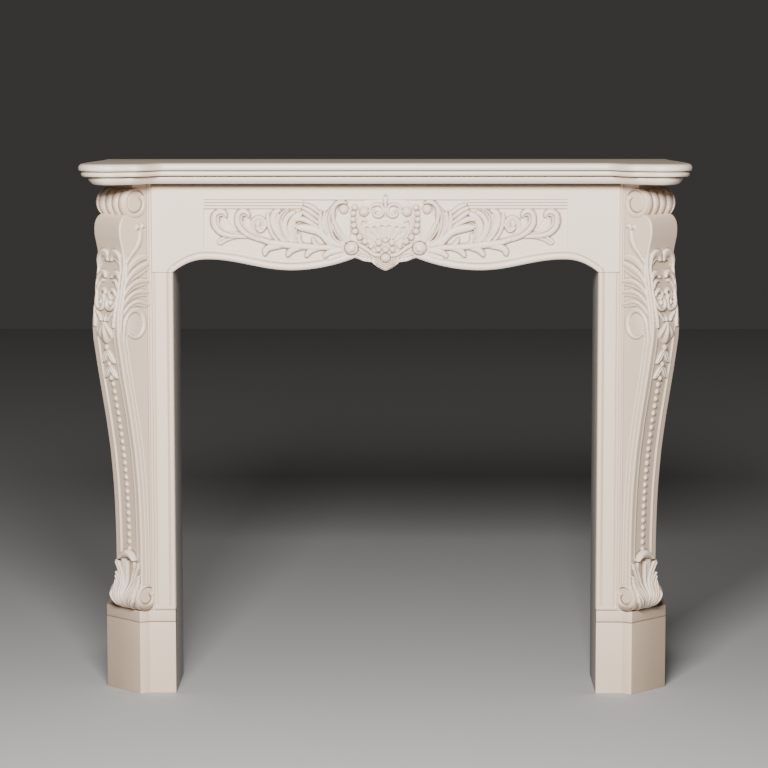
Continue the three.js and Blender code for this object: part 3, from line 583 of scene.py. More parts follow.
def carve(field, x, y, kind, high, stops, ground, low_root=0.55):
    """Lifts the points under one leaf. Stops are place and width, root first."""
    path = smooth_path(stops)
    reach = path[:, 2].max() / 2 + 1
    near = (x > path[:, 0].min() - reach) & (x < path[:, 0].max() + reach)
    near &= (y > path[:, 1].min() - reach) & (y < path[:, 1].max() + reach)
    if not near.any():
        return
    best, along, side = measure(x[near], y[near], path)
    rise = low_root + (1 - low_root) * ease(along / 0.4)
    lifted = ground + high * rise * section(kind, np.minimum(best, 1), side)
    under = field[near]
    field[near] = np.where(best < 1, np.maximum(under, lifted), under)


def dome(field, x, y, cx, cy, r, high, ground):
    """Lifts a ball, and cuts a fine seam round it."""
    away = np.hypot(x - cx, y - cy) / r
    lifted = ground + high * np.sqrt(np.clip(1 - away**2, 0, 1))
    seam = (away > 0.96) & (away < 1.22)
    field[seam] -= 0.25 * (field[seam] - ground)
    field[away < 1] = np.maximum(field, lifted)[away < 1]


def cut(field, x, y, stops, width, depth):
    """Cuts a fine round-bottomed line along a path."""
    line = np.zeros_like(field)
    carve(line, x, y, "round", depth, [(*p, width) for p in stops], 0.0, 1.0)
    field -= line


# %% [markdown]
# Glaze stays in the fine cuts, where the wood lies lower than what is round it.
# Wider hollows and the underside of every overhang get painted shade in the
# same brown. Subtracting a softened copy of the heights from the heights shows
# both: low places come out dark, and sharp ridges come out worn.

# %% Glaze and painted shade from the heights
FINE_FROM, FINE_SPAN, FINE_SHARE = 0.08, 0.9, 0.5
BROAD_SHADE_FROM, BROAD_SHADE_SPAN, BROAD_SHADE_SHARE = 0.4, 3.2, 0.7
UNDERSIDE_SHADE_FROM, UNDERSIDE_SHADE_SPAN, UNDERSIDE_SHADE_SHARE = 0.3, 1.4, 0.45
RIDGE_SPAN = 0.6


def ramp(amount, span):
    """Rises from 0 to 1 over a span."""
    return np.clip(amount / span, 0, 1)


def blur(field, times):
    """Softens a sheet of heights with its neighbours."""
    out = field.copy()
    for _ in range(times):
        wide = np.pad(out, 1, mode="edge")
        out = (wide[:-2, 1:-1] + wide[2:, 1:-1] + wide[1:-1, :-2] + wide[1:-1, 2:] + 2 * out) / 6
    return out


def sanded(field):
    """Takes the last sharpness off the tool cuts."""
    return 0.7 * field + 0.3 * blur(field, 1)


def recess_and_ridge(field):
    """Where the glaze stays, where shade is painted, and where the paint is rubbed off."""
    fine = blur(field, 2) - field
    broad_shade = blur(field, 18) - field
    low = ramp(fine - FINE_FROM, FINE_SPAN) * FINE_SHARE + ramp(broad_shade - BROAD_SHADE_FROM, BROAD_SHADE_SPAN) * BROAD_SHADE_SHARE
    # painted shade on faces that look down, where the height falls away below
    under = np.diff(field, axis=0, append=field[-1:])
    low += ramp(under - UNDERSIDE_SHADE_FROM, UNDERSIDE_SHADE_SPAN) * UNDERSIDE_SHADE_SHARE
    return np.clip(low, 0, 1), ramp(-fine, RIDGE_SPAN)


# %% [markdown]
# ## Frieze
# The board across the top is the showpiece: a shaped lower edge with a bead, a
# panel with three reeds above it, sprays of acanthus running out from the
# middle, and a shell framed by pearls. The sheet of points follows the shaped
# edge at the bottom and is level at the top, so both the bead and the reeds
# stay crisp.

# %% Lower edge of the frieze
# Half of the edge: crown of the arch, swag, cusp, curl and the tongue in the middle.
CROWN_X, CROWN_Z = 358.0, 888.0
SWELL_X, SWELL_Z = 190.0, 866.0
CUSP_X, CUSP_Z = 61.0, 891.0
CURL_X, CURL_Z = 28.0, 883.0
TONGUE_Z = 866.0
SPRING_POWER = 2.2
TONGUE_POWER = 1.6


def arch_z(x):
    """Height of the shaped lower edge."""
    u = np.abs(np.asarray(x, float))
    fall = ramp(u - CROWN_X, OPENING - CROWN_X) ** SPRING_POWER
    spring = CROWN_Z - (CROWN_Z - SPRING_Z - GAP) * fall
    rise = SWELL_Z + (CROWN_Z - SWELL_Z) * ease((u - SWELL_X) / (CROWN_X - SWELL_X))
    swag = SWELL_Z + (CUSP_Z - SWELL_Z) * ((SWELL_X - u) / (SWELL_X - CUSP_X)) ** 2
    curl = CURL_Z + (CUSP_Z - CURL_Z) * ((u - CURL_X) / (CUSP_X - CURL_X)) ** 2
    tongue = TONGUE_Z + (CURL_Z - TONGUE_Z) * ramp(u, CURL_X) ** TONGUE_POWER
    return np.select([u > CROWN_X, u > SWELL_X, u > CUSP_X, u > CURL_X], [spring, rise, swag, curl], tongue)


print("lower edge, from the middle out:", arch_z([0, 28, 61, 190, 358, 428]).round(1))


# %% [markdown]
# The leaves are listed as a carver would set them out: a cross-section, a
# height, then stops along the leaf. A stop is the distance out from the
# middle, the height above the floor and the width there. Only one half is
# drawn, because the other half is its mirror.

# %% Acanthus sprays
STEM = (
    ("body", 8.5, ((66, 911, 9), (100, 912, 11), (135, 912, 12), (165, 914, 13), (190, 916, 14),
        (213, 919, 14), (232, 922, 12), (250, 928, 9))),
    ("body", 8.0, ((200, 916, 9), (220, 914, 13), (234, 911, 14), (241, 905, 13), (242, 899, 9))),
    ("body", 8.0, ((164, 912, 9), (181, 909, 12), (191, 904, 13), (196, 897, 9))),
    ("body", 7.5, ((124, 911, 8), (143, 908, 11), (153, 903, 12), (158, 896, 9))),
    ("body", 7.0, ((80, 908, 9), (100, 905, 13), (114, 901, 13), (122, 895, 9))),
    ("body", 3.5, ((82, 899, 10), (96, 896, 12), (112, 890, 10))),
)
CRESCENTS = (
    ("vein", 8.5, ((272, 935, 10), (298, 936, 13), (313, 938, 15), (328, 943, 17), (339, 954, 17),
        (342, 967, 16), (340, 977, 16), (332, 982, 16), (324, 980, 13), (321, 974, 7))),
    ("vein", 9.0, ((236, 922, 10), (258, 931, 13), (273, 938, 15), (285, 947, 17), (293, 958, 17),
        (295, 968, 16), (293, 978, 16), (286, 983, 16), (278, 980, 13), (275, 974, 7))),
    ("lip_in", 8.5, ((262, 935, 9), (267, 947, 11), (266, 959, 12), (261, 967, 13), (253, 969, 14),
        (246, 963, 14), (245, 954, 13), (250, 947, 11), (257, 951, 9))),
    ("body", 4.5, ((256, 953, 8), (256, 960, 9), (255, 965, 6))),
    ("body", 3.6, ((302, 939, 10), (316, 949, 20), (323, 961, 19), (324, 970, 10))),
    ("body", 3.6, ((262, 936, 10), (271, 948, 18), (277, 960, 18), (278, 970, 10))),
    ("gouge", 5.5, ((285, 936, 8), (304, 934, 11), (320, 930, 13), (332, 923, 13))),
)
BLADES = (
    ("round", 6.0, ((216, 924, 7), (226, 936, 8), (233, 952, 9), (236, 967, 9), (236, 979, 7))),
    ("body", 7.5, ((206, 926, 8), (216, 938, 10), (223, 953, 12), (226, 968, 13), (222, 981, 13),
        (214, 986, 9))),
    ("round", 6.5, ((202, 925, 6), (210, 937, 7), (217, 952, 8), (218, 966, 8), (215, 977, 7))),
    ("gouge", 8.5, ((197, 924, 7), (206, 939, 9), (211, 955, 10), (211, 969, 11), (205, 980, 11),
        (197, 986, 8))),
    ("body", 7.0, ((188, 923, 7), (197, 936, 9), (202, 951, 10), (201, 965, 11), (194, 976, 11),
        (185, 982, 9))),
    ("body", 6.0, ((181, 923, 7), (188, 936, 10), (191, 950, 13), (187, 963, 15), (179, 973, 15),
        (171, 979, 10))),
    ("gouge", 6.5, ((174, 920, 7), (180, 934, 9), (182, 946, 10), (179, 956, 8))),
    ("round", 7.0, ((168, 917, 8), (173, 926, 10), (173, 937, 7))),
    ("round", 7.0, ((134, 915, 8), (142, 921, 10), (146, 929, 7))),
)
FAN = (
    ("round", 7.0, ((132, 980, 6), (141, 988, 9), (150, 994, 9.5), (161, 998, 7))),
    ("round", 7.5, ((133, 970, 6), (144, 979, 9.5), (154, 986, 10), (164, 991, 8))),
    ("round", 8.0, ((134, 960, 6), (146, 969, 10), (157, 977, 11), (166, 983, 9))),
    ("body", 8.0, ((134, 951, 6), (146, 959, 9), (157, 965, 10.5), (168, 969, 11), (179, 968, 8))),
    ("body", 9.0, ((84, 911, 9), (102, 914, 12), (114, 923, 14), (125, 936, 15), (136, 944, 16),
        (148, 948, 17), (160, 951, 17), (170, 952, 14), (177, 953, 8))),
    ("round", 7.5, ((116, 928, 7), (126, 943, 9), (131, 962, 10), (130, 984, 6))),
    ("round", 7.0, ((111, 928, 6), (120, 946, 8), (124, 963, 9), (122, 982, 6))),
    ("gouge", 8.5, ((84, 918, 7), (101, 925, 10), (110, 939, 12), (115, 960, 13), (115, 977, 11),
        (109, 990, 6))),
    ("gouge", 8.0, ((84, 924, 7), (95, 937, 9), (103, 952, 10), (105, 967, 6))),
    ("round", 6.5, ((80, 925, 5), (87, 936, 7), (92, 947, 4))),
    ("body", 8.5, ((78, 913, 8), (100, 919, 12), (110, 928, 12), (114, 939, 7))),
)

SPRAY_GAIN = 1.25  # the sprays stand a quarter prouder than they were set out
print("sprays:", len(STEM + CRESCENTS + BLADES + FAN), "leaves on each half")

# %% [markdown]
# The cartouche in the middle is a shield edged by a pearl string, with two
# scrolls and a shell on it and a tongue with one more pearl below. Pearls are
# domes on the same sheet, with a fine seam cut round each.

# %% Cartouche
SHIELD = (
    ("flat", 3.0, ((0, 922, 60), (0, 950, 110), (0, 975, 110))),
    ("flat", 4.5, ((76, 918, 10), (82, 935, 24), (86, 958, 34), (82, 978, 30))),
)
CARTOUCHE = (
    ("round", 8.5, ((74, 920, 7), (81, 928, 8), (93, 946, 8), (103, 963, 8), (106, 978, 9),
        (104, 991, 10), (96, 1001, 10), (86, 1003, 9), (79, 1001, 5))),
    ("body", 7.5, ((62, 922, 7), (53, 917, 8), (43, 912, 8), (32, 904, 8), (23, 898, 8), (10, 896, 7))),
    ("gouge", 6.0, ((33, 890, 7), (38, 896, 11), (46, 899, 13), (54, 901, 9))),
    ("body", 4.5, ((32, 886, 6), (42, 888, 9), (52, 892, 8))),
    ("body", 5.0, ((22, 984, 12), (15, 985, 20), (10, 985, 12))),
    ("round", 8.5, ((33, 983, 5), (29, 993, 7), (20, 998, 8), (10, 997, 8), (5, 989, 8), (6, 979, 8),
        (14, 974, 8), (22, 977, 7), (22, 984, 6), (16, 986, 5))),
    ("body", 6.5, ((0, 974, 4), (0, 990, 5), (0, 1001, 7), (0, 1010, 10))),
    ("lip", 8.0, ((44, 934, 6), (51, 948, 10), (54, 961, 12), (50, 970, 12), (43, 970, 10), (38, 964, 6))),
    ("lip", 8.0, ((35, 930, 6), (42, 942, 9), (45, 952, 11), (40, 959, 11), (32, 955, 7))),
    ("lip", 8.0, ((26, 934, 6), (31, 945, 8), (30, 954, 10), (24, 959, 10), (17, 956, 7))),
    ("lip", 7.5, ((14, 938, 5), (17, 948, 7), (15, 957, 9), (8, 961, 9), (1, 957, 6))),
)
PEARLS = (
    (61.5, 992, 6.2), (64.4, 980, 6.0), (65, 968, 5.8), (63.5, 956, 6.0), (61, 944, 6.4), (52, 932.5, 6.5),
    (41, 923.5, 6.3), (28.5, 915, 6.4), (14.5, 908, 6.4), (0, 907, 6.2), (13, 921.5, 6.8), (0, 926, 5.5),
)
BALLS = ((83.5, 988.5, 10.0), (43, 983.5, 9.8))
VOLUTE_EYE = (68, 910, 13.3)
PENDANT = (891, 8.7)
CARTOUCHE_LIFT = 2.5
print("cartouche:", len(CARTOUCHE), "leaves,", len(PEARLS + BALLS), "pearls and balls on each half")

# %% [markdown]
# The sheet needs close points where there is carving and few where the board
# is plain. Its columns are closer in the panel, and its rows follow the shaped
# edge at the bottom and become level higher up.

# %% Sheet of the frieze
REEDS = (1007.7, 1001.5, 995.3, 989.2)  # top, two valleys and bottom of the three reeds
REED_STEPS = 6  # rows on each reed
PANEL_X = 365.0
REED_INNER = 165.0
ROW_PITCH = 1.18
EDGE_STOPS = (0, 0.3, 1, 2, 3.2, 4.6, 6.2, 7.8, 9.4, 10.8, 12, 12.8, 13.6, 14.6, 16, 18, 20)
MIDDLE_ROWS = 22
LEVEL_Z = 914.0  # rows are level from here up
CARVED_LEVELS = np.arange(LEVEL_Z + ROW_PITCH, REEDS[3] - 0.6, ROW_PITCH)


def frieze_columns():
    """Places across, close in the panel and wide apart on the plain ends."""
    half = np.concatenate([
        np.arange(0, 345, 1.17), np.arange(345, 361, 2.0), np.arange(361, 369, 0.8),
        np.arange(369, 420, 4.0), np.arange(420, 444, 1.6), np.arange(444, 469, 5.0), [468.9, 469.7]])
    return np.concatenate([-half[:0:-1], half])


def frieze_rows(x):
    """Heights of every row, from the shaped edge to the top."""
    edge = arch_z(x)
    low = [edge + d for d in EDGE_STOPS]
    start = edge + EDGE_STOPS[-1]
    middle = [start + (LEVEL_Z - start) * t for t in np.linspace(0, 1, MIDDLE_ROWS + 1)[1:]]
    reeded = np.linspace(REEDS[3], REEDS[0], 3 * REED_STEPS + 1)
    plain = np.linspace(REEDS[0] + 8, LEG_TOP - 4, 5)
    top = np.concatenate([REEDS[0] + np.array([0.6, 1.4, 3.0]), plain, [LEG_TOP - 1.5, LEG_TOP]])
    level = [np.full_like(edge, z) for z in np.concatenate([CARVED_LEVELS, reeded, top])]
    return np.array(low + middle + level)


print("frieze sheet:", len(frieze_columns()), "columns,", len(frieze_rows(np.zeros(1))), "rows")

# %% [markdown]
# Before any leaf is carved, the joiner has sunk the panel, run the bead along
# the shaped edge with a quirk beside it, and stuck three reeds at the top. All
# of these depend only on how far a point is from an edge.

# %% Plain work of the frieze
GROUND = -3.0  # the sunk ground that the leaves stand on
BEAD_WIDE, BEAD_END = 13.0, 10.2
MARGIN = 20.0  # plain margin between the edge and the panel


def groove(away, half):
    """1 on a line, dying away on both sides of it."""
    return np.exp(-((away / half) ** 2))


def edge_distance(u, z):
    """Distance from the shaped edge, which turns down the leg at its end."""
    stops = np.concatenate([np.arange(40, OPENING, 4.0), [OPENING]])
    path = np.stack([stops, arch_z(stops), np.full_like(stops, 2.0)], axis=1)
    path = np.vstack([path, [OPENING, SPRING_Z - 40, 2.0]])
    return measure(u, z, path)[0]


def frieze_ground(u, z, away):
    """The plain work: bead, margin, sunk panel and reeds."""
    wide = np.interp(u, (380, OPENING), (BEAD_WIDE, BEAD_END))
    field = np.zeros_like(u)
    panel = (u < PANEL_X) & (z < REEDS[3])
    sunk = ramp(away - MARGIN, 2.5) * ramp(PANEL_X - u, 1.0)
    field = np.where(panel, GROUND * sunk, field)
    field = np.where((u < REED_INNER) & (z < REEDS[0]) & (z > LEVEL_Z), GROUND, field)
    reeds = (u < PANEL_X) & (u > REED_INNER) & (z <= REEDS[0] + 0.01) & (z >= REEDS[3] - 0.01)
    strip = (REEDS[0] - z) / (REEDS[0] - REEDS[3]) * 3
    across = 2 * (strip - np.floor(strip + 1e-6)) - 1
    field = np.where(reeds, -2.4 + 2.8 * np.sqrt(np.clip(1 - across**2, 0, 1)), field)
    border = np.where(z < REEDS[3], np.abs(u - PANEL_X), 9)
    field -= 1.6 * groove(border, 0.8) * (away > MARGIN)
    r = np.clip(2 * away / wide - 1, -1, 1)
    bead = -4.6 + 5.2 * np.sqrt(np.clip(1 - r**2, 0, 1)) ** 0.9
    quirk = -2.2 * groove(away - wide - 0.6, 0.8)
    return np.where(away < wide, bead, field + quirk)


# %% [markdown]
# The shell, the volutes and the tongue follow circles rather than leaves, so
# each has its own few lines. A ring cut round a ball separates it from the
# leaves, as a carver's veiner does.

# %% Shell, volute and tongue
SHELL_ROOT_Z, SHELL_REACH, SHELL_FLUTES = 912.0, 51.0, 17
SHELL_HALF = math.radians(78)  # the fan opens this far to each side
EYE_ARC_R = 7.2
TONGUE_HALF = 29.0
RIDGE_FROM, RIDGE_PITCH = 12.6, 4.3


def shell(u, z):
    """A fan of flutes that spread from the root and end in scallops."""
    r = np.hypot(u, z - SHELL_ROOT_Z)
    lean = np.arctan2(u, z - SHELL_ROOT_Z)
    wave = np.cos(lean / SHELL_HALF * math.pi * SHELL_FLUTES / 2 + 0.25 * np.sin(r / 5))
    outline = SHELL_REACH - 8 * (lean / SHELL_HALF) ** 2 + 2.0 * wave
    inside = (r < outline) & (np.abs(lean) < SHELL_HALF) & (z > SHELL_ROOT_Z + 4)
    high = GROUND + 2.6 + 2.2 * ramp(r, SHELL_REACH) + 2.0 * wave * ramp(r, 20)
    return np.where(inside, high, GROUND)


def add_volute(field, u, z):
    """A ball with a ring cut round it and an eye that turns in."""
    cx, cz, r = VOLUTE_EYE
    dome(field, u, z, cx, cz, r, 11.5, GROUND)
    from_eye = np.hypot(u - cx, z - cz)
    field -= np.where(u > 50, 4.0 * groove(from_eye - r - 0.7, 0.9), 0)
    turn = np.linspace(math.pi * 0.95, math.pi * 1.5, 8)
    eye_arc = [(cx + EYE_ARC_R * math.cos(t), cz + EYE_ARC_R * math.sin(t)) for t in turn]
    cut(field, u, z, eye_arc, 3.6, 4.4)


def add_tongue(field, x, z):
    """A pearl, and the ridges that run round it down to the lower edge."""
    pearl_z, pearl_r = PENDANT
    from_pearl = np.hypot(x, z - pearl_z)
    wave = np.cos((from_pearl - RIDGE_FROM) / RIDGE_PITCH * 2 * np.pi)
    ridges = GROUND + 5.2 + 2.0 * wave - ramp(from_pearl - 21, 4) * 3
    tongue = (from_pearl < 27) & (z < 897) & (np.abs(x) < TONGUE_HALF)
    rounded = 0.3 + 0.7 * ease((z - arch_z(x)) / 3.5)
    field = np.where(tongue, np.maximum(field, GROUND + (ridges - GROUND) * rounded), field)
    dome(field, x, z, 0, pearl_z, pearl_r, 11.0, GROUND)
    field -= 3.2 * groove(from_pearl - 10.0, 0.9) * (z < 900)
    return field


# %% [markdown]
# Now everything is laid on one sheet in a carver's order: plain work, shield,
# sprays, shell, scrolls, pearls and last the volutes and the tongue. Each step
# only lifts what stands prouder, so leaves overlap as they do in wood.

# %% Heights of the frieze
def frieze_heights(x, z):
    """How far every point of the frieze stands out from the face."""
    u = np.abs(x)
    away = edge_distance(u, z)
    field = frieze_ground(u, z, away)
    for kind, high, stops in SHIELD:
        carve(field, u, z, kind, high, stops, GROUND)
    for kind, high, stops in STEM + CRESCENTS + BLADES + FAN:
        carve(field, u, z, kind, high * SPRAY_GAIN, stops, GROUND)
    field = np.maximum(field, shell(u, z))
    for kind, high, stops in CARTOUCHE:
        carve(field, u, z, kind, high + CARTOUCHE_LIFT, stops, GROUND)
    for cx, cz, r in BALLS + PEARLS:
        dome(field, u, z, cx, cz, r, r * 0.9 + 4.5, GROUND)
    add_volute(field, u, z)
    return add_tongue(field, x, z)


columns = frieze_columns()
z = frieze_rows(columns)
x = np.broadcast_to(columns, z.shape).copy()
heights = sanded(frieze_heights(x, z))
print("carving of the frieze, lowest and highest:", heights.min().round(1), heights.max().round(1), "mm")

# %% [markdown]
# Besides the marks that the heights give, glaze settles in the valleys of the
# reeds, round the volutes and the pendant, and along the joints with the legs,
# and a band of painted shadow lies under the bed moulding. These are added by place.

# %% Glaze and painted shadow on the frieze
REED_ROW = len(EDGE_STOPS) + MIDDLE_ROWS + len(CARVED_LEVELS)
JOINT_X = 469.0
low, high = recess_and_ridge(heights)
for line in range(0, 3 * REED_STEPS + 1, REED_STEPS):
    limit = REED_INNER if line < 3 * REED_STEPS else 0
    reeded = (np.abs(columns) < PANEL_X) & (np.abs(columns) > limit) & (heights[REED_ROW + line] < 0.5)
    low[REED_ROW + line, reeded] = 1.0
# painted shadow of the bed moulding, darkest at the top of the frieze
low = np.maximum(low, ramp(z - (LEG_TOP - 8), 4) * 0.95)
for cx, cz, r in (VOLUTE_EYE, (0.0, *PENDANT)):
    ring = np.hypot(np.abs(x) - cx, z - cz) - r - 0.7
    low = np.maximum(low, 0.85 * groove(ring, 1.0) * (z > 880))
low = np.where(np.abs(x) > JOINT_X, np.maximum(low, 0.7), low)
low = np.where((z < SPRING_Z + 0.8) & (np.abs(x) > OPENING + 1), 1.0, low)
print("share of the frieze with glaze on it:", round(float((low > 0.3).mean()), 2))

# %% [markdown]
# The sheet is a create_grid that is laid over the points. Its rim is then
# extruded straight back to the thickness of the board, and closed behind.

# %% Frieze board
def sheet_mesh(bm, points, low, high):
    """Lays a create_grid sheet over the given points and carries the glaze marks."""
    rows, columns = points.shape[:2]
    recess = bm.verts.layers.float.get("recess") or bm.verts.layers.float.new("recess")
    ridge = bm.verts.layers.float.get("ridge") or bm.verts.layers.float.new("ridge")
    made = bmesh.ops.create_grid(bm, x_segments=columns - 1, y_segments=rows - 1, size=1.0)["verts"]
    flat = points.reshape(-1, 3)
    low, high = low.ravel(), high.ravel()
    for v, p, a, b in zip(made, flat, low, high):
        v.co = p
        v[recess] = a
        v[ridge] = b
    return made


points = np.stack([x, FACE_Y - heights, z], axis=-1)
frieze = bmesh.new()
sheet_mesh(frieze, points, low, high)
rim = [e for e in frieze.edges if e.is_boundary]
back = bmesh.ops.extrude_edge_only(frieze, edges=rim)["geom"]
plain_marks = [frieze.verts.layers.float.get(label) for label in ("recess", "ridge")]
for v in (g for g in back if isinstance(g, bmesh.types.BMVert)):
    v.co.y = FACE_Y + BOARD
    for mark in plain_marks:
        v[mark] = 0.0
bmesh.ops.contextual_create(frieze, geom=[g for g in back if isinstance(g, bmesh.types.BMEdge)])
bmesh.ops.recalc_face_normals(frieze, faces=frieze.faces)
keep("frieze_carved", frieze, "frieze_board", FRIEZE_PAINT, sharp=50, weld=0.001)


# %% [markdown]
# ## Legs
# Each leg is a pilaster board with a bead along the fire opening, a thin
# corner stile, two plain boards that run back to the wall, and a plinth. The
# pilaster's section is extruded upwards, and its sunk field fades in just above
# the plinth. Its section lists a place across, the depth there with and without
# the field, and how much glaze stays.

# %% Pilasters
PILASTER_SECTION = (
    (428.0, 20.0, 20.0, 0), (428.0, 6.0, 6.0, 0), (428.6, 3.2, 2.0, 0), (430.2, 1.2, 0.6, 0),
    (432.8, 0.0, 0.0, 0), (435.4, 0.8, 0.3, 0), (437.4, 2.6, 0.2, 0.3), (438.6, 3.6, 0.0, 0.55),
    (440.0, 2.8, 0.0, 0.5), (441.0, 0.2, 0.0, 0.1), (442.0, 0.0, 0.0, 0), (462.4, 0.0, 0.0, 0),
    (463.6, 0.4, 0.0, 0.1), (464.6, 3.0, 0.0, 0.5), (466.4, 3.2, 0.0, 0.4), (468.2, 1.8, 0.0, 0.1),
    (469.7, 1.4, 0.2, 0.3), (469.7, 20.0, 20.0, 0),
)
PILASTER_RINGS = (
    (LEG_Z, 0.0), (177.5, 0.0), (179.5, 0.6), (182.0, 1.0), (300.0, 1.0), (500.0, 1.0), (700.0, 1.0),
    (858.6, 1.0), (860.6, 1.0), (SPRING_Z, 1.0),
)
FIELD_FADE, FIELD_START = (176, 180), 0.25  # the glaze of the field grows between these heights
END_GLAZE = 0.9  # glaze in the joints at both ends


def pilaster_ring(side, cut):
    """The section, with its mouldings cut in by a share from 0 to 1."""
    return [(side * px, FACE_Y + plain + (deep - plain) * cut) for px, deep, plain, _ in PILASTER_SECTION]


def pilaster(side):
    """A pilaster board, with its glaze along the quirks and at both ends."""
    rings = [pilaster_ring(side, cut) for _, cut in PILASTER_RINGS]
    bm = extrude_rings(rings, [height for height, _ in PILASTER_RINGS], [0.0] * len(rings))
    recess = bm.verts.layers.float.get("recess")
    by_x = {round(px, 1): mark for px, _, _, mark in PILASTER_SECTION}
    for v in bm.verts:
        cut = np.interp(v.co.z, FIELD_FADE, (FIELD_START, 1))
        mark = by_x.get(round(abs(v.co.x), 1), 0) * cut if v.co.y < FACE_Y + BOARD / 2 else 0
        end = END_GLAZE if v.co.z > SPRING_Z - 0.3 or v.co.z < LEG_Z + 0.2 else 0
        v[recess] = max(mark, end)
    return bm


for label, side in SIDES:
    post = pilaster(side)
    keep(f"{label}_pilaster_painted", post, f"{label}_pilaster", LEG_PAINT, sharp=60)

# %% [markdown]
# Behind each pilaster a board lines the fire opening, and another runs back
# behind the console. They are plain planed boards: cubes stretched to size,
# with their edges eased by a small bevel. The corner stile beside the pilaster
# has a small section of its own.

# %% Boards and corner stiles
EASED = 0.8


def board(x0, x1, y0, y1, z0, z1):
    """A planed board from a create_cube, with its edges eased."""
    bm = bmesh.new()
    bmesh.ops.create_cube(bm, size=1.0)
    centre = Vector(((x0 + x1) / 2, (y0 + y1) / 2, (z0 + z1) / 2))
    bmesh.ops.scale(bm, vec=(abs(x1 - x0), abs(y1 - y0), abs(z1 - z0)), verts=bm.verts)
    bmesh.ops.translate(bm, vec=centre, verts=bm.verts)
    bmesh.ops.bevel(bm, geom=bm.edges[:], offset=EASED, segments=2, profile=0.5, affect="EDGES", material=-1)
    return bm


STILE_STEPS = (
    (470.0, 0.6), (471.2, 0.0), (473.6, 0.0), (474.8, 0.9), (476.0, 1.6), (477.6, 1.1), (479.7, 0.6),
)
STILE_GLAZE = ((470.0, 0.1), (476.0, 0.3), (479.7, 0.1))  # where glaze stays, and how near


def corner_stile(side):
    """The narrow strip between a pilaster and a console."""
    section_ring = [(side * px, FACE_Y + deep) for px, deep in STILE_STEPS]
    section_ring += [(side * STILE_STEPS[-1][0], FACE_Y + BOARD), (side * STILE_STEPS[0][0], FACE_Y + BOARD)]
    levels = [LEG_Z, LEG_Z + 1, LEG_TOP - 1, LEG_TOP]
    bm = extrude_rings([section_ring] * 4, levels, [0.6, 0.2, 0.2, 0.7])
    recess = bm.verts.layers.float.get("recess")
    for v in bm.verts:
        if any(abs(abs(v.co.x) - line) < near for line, near in STILE_GLAZE):
            v[recess] = 0.75
    return bm


for label, side in SIDES:
    stile = corner_stile(side)
    keep(f"{label}_stile_painted", stile, f"{label}_corner_stile", LEG_PAINT, sharp=60)
    inner = board(side * OPENING, side * (OPENING + BOARD), FACE_Y + BOARD + GAP, WALL_Y, 0, LEG_TOP)
    keep(f"{label}_inner_return_painted", inner, f"{label}_inner_return", SHADED_REVEAL_PAINT)
    outer = board(side * OUTER_X, side * (OUTER_X - BOARD), FACE_Y + RETURN_BACK, WALL_Y, LEG_Z, LEG_TOP)
    keep(f"{label}_outer_return_painted", outer, f"{label}_outer_return", RETURN_PAINT)

# %% [markdown]
# A plinth is a box of boards with a flat cap. Its front corner is cut off at
# forty-five degrees to carry the console, and its back is open, so that it fits
# over a skirting board. Plan and lining are drawn once and extruded up.

# %% Plinths
PLINTH_OUTER = [(428.0, 0.0), (481.0, 0.0), (500.0, -10.0), (576.0, 66.0), (576.0, 180.0)]
BLOCK_Z = (0, 148)
CAP_Z = (148.3, 171.8)
BLOCK_LINING = [(556.0, 180.0), (556.0, 74.284), (491.716, 10.0), (485.47, 20.0), (428.0, 20.0)]
CAP_LINING = [(448.3, 180.0), (448.3, 20.0), (428.0, 20.0)]


def plinth(side, lining, levels, edge):
    """Extrudes a plan with its lining between two levels and rounds the edges."""
    ring = [(side * px, FACE_Y + py) for px, py in PLINTH_OUTER + lining]
    bm = extrude_rings([ring, ring], levels, [0.0, 0.0])
    bmesh.ops.bevel(bm, geom=bm.edges[:], offset=edge, segments=3, profile=0.5, affect="EDGES", material=-1)
    return bm


for label, side in SIDES:
    block = plinth(side, BLOCK_LINING, BLOCK_Z, 1.2)
    keep(f"{label}_plinth_block_painted", block, f"{label}_plinth_block", PLINTH_PAINT)
    cap = plinth(side, CAP_LINING, CAP_Z, 1.6)
    keep(f"{label}_plinth_cap_painted", cap, f"{label}_plinth_cap", PLINTH_PAINT)


# %% [markdown]
# ## Consoles
# The consoles stand on the cut-off corners, at forty-five degrees. Seen from
# the side each is a long S: a rolled volute, a shoulder, a bellied knee, and a
# shaft that runs down to a small scroll. The body is skinned ring by ring up
# that profile, and the same carving tools raise the leaves on its face and its
# two sides.

# %% Profile of a console
# Height, and how far the face stands out along the cant.
PROFILE = (
    (172, 15), (175, 23), (179, 29), (184, 33), (190, 35.4), (197, 36), (204, 35), (210, 32.4),
    (216, 28.6), (222, 24.6), (229, 22), (240, 21.3), (267, 21.6), (309, 21.8), (350, 22.8),
    (390, 24.4), (425, 26.5), (462, 30), (500, 34.2), (533, 39.4), (567, 45), (600, 51.4), (633, 57.8),
    (666, 64.2), (699, 70), (728, 75), (745, 76.3), (756, 76.6), (768, 76.2), (785, 74.4), (815, 69.4),
    (844, 64.2), (868, 60.4), (880, 59.4), (892, 59.6), (908, 61.6), (925, 65.8), (934, 68.1),
    (941, 69), (950, 69.2), (957, 68.6), (963, 67.2), (969, 64), (974, 60), (978, 54), (980.5, 44),
    (983, 34), (1041, 34),
)
PROFILE_Z, PROFILE_W = np.array(PROFILE, float).T
FINE_Z = np.linspace(PROFILE_Z[0], PROFILE_Z[-1], 900)
FINE_W = np.interp(FINE_Z, PROFILE_Z, PROFILE_W)
for _ in range(5):
    FINE_W[1:-1] = (FINE_W[:-2] + 2 * FINE_W[1:-1] + FINE_W[2:]) / 4


def face_w(height):
    """How far out the face of a console stands at a height."""
    return np.interp(height, FINE_Z, FINE_W)


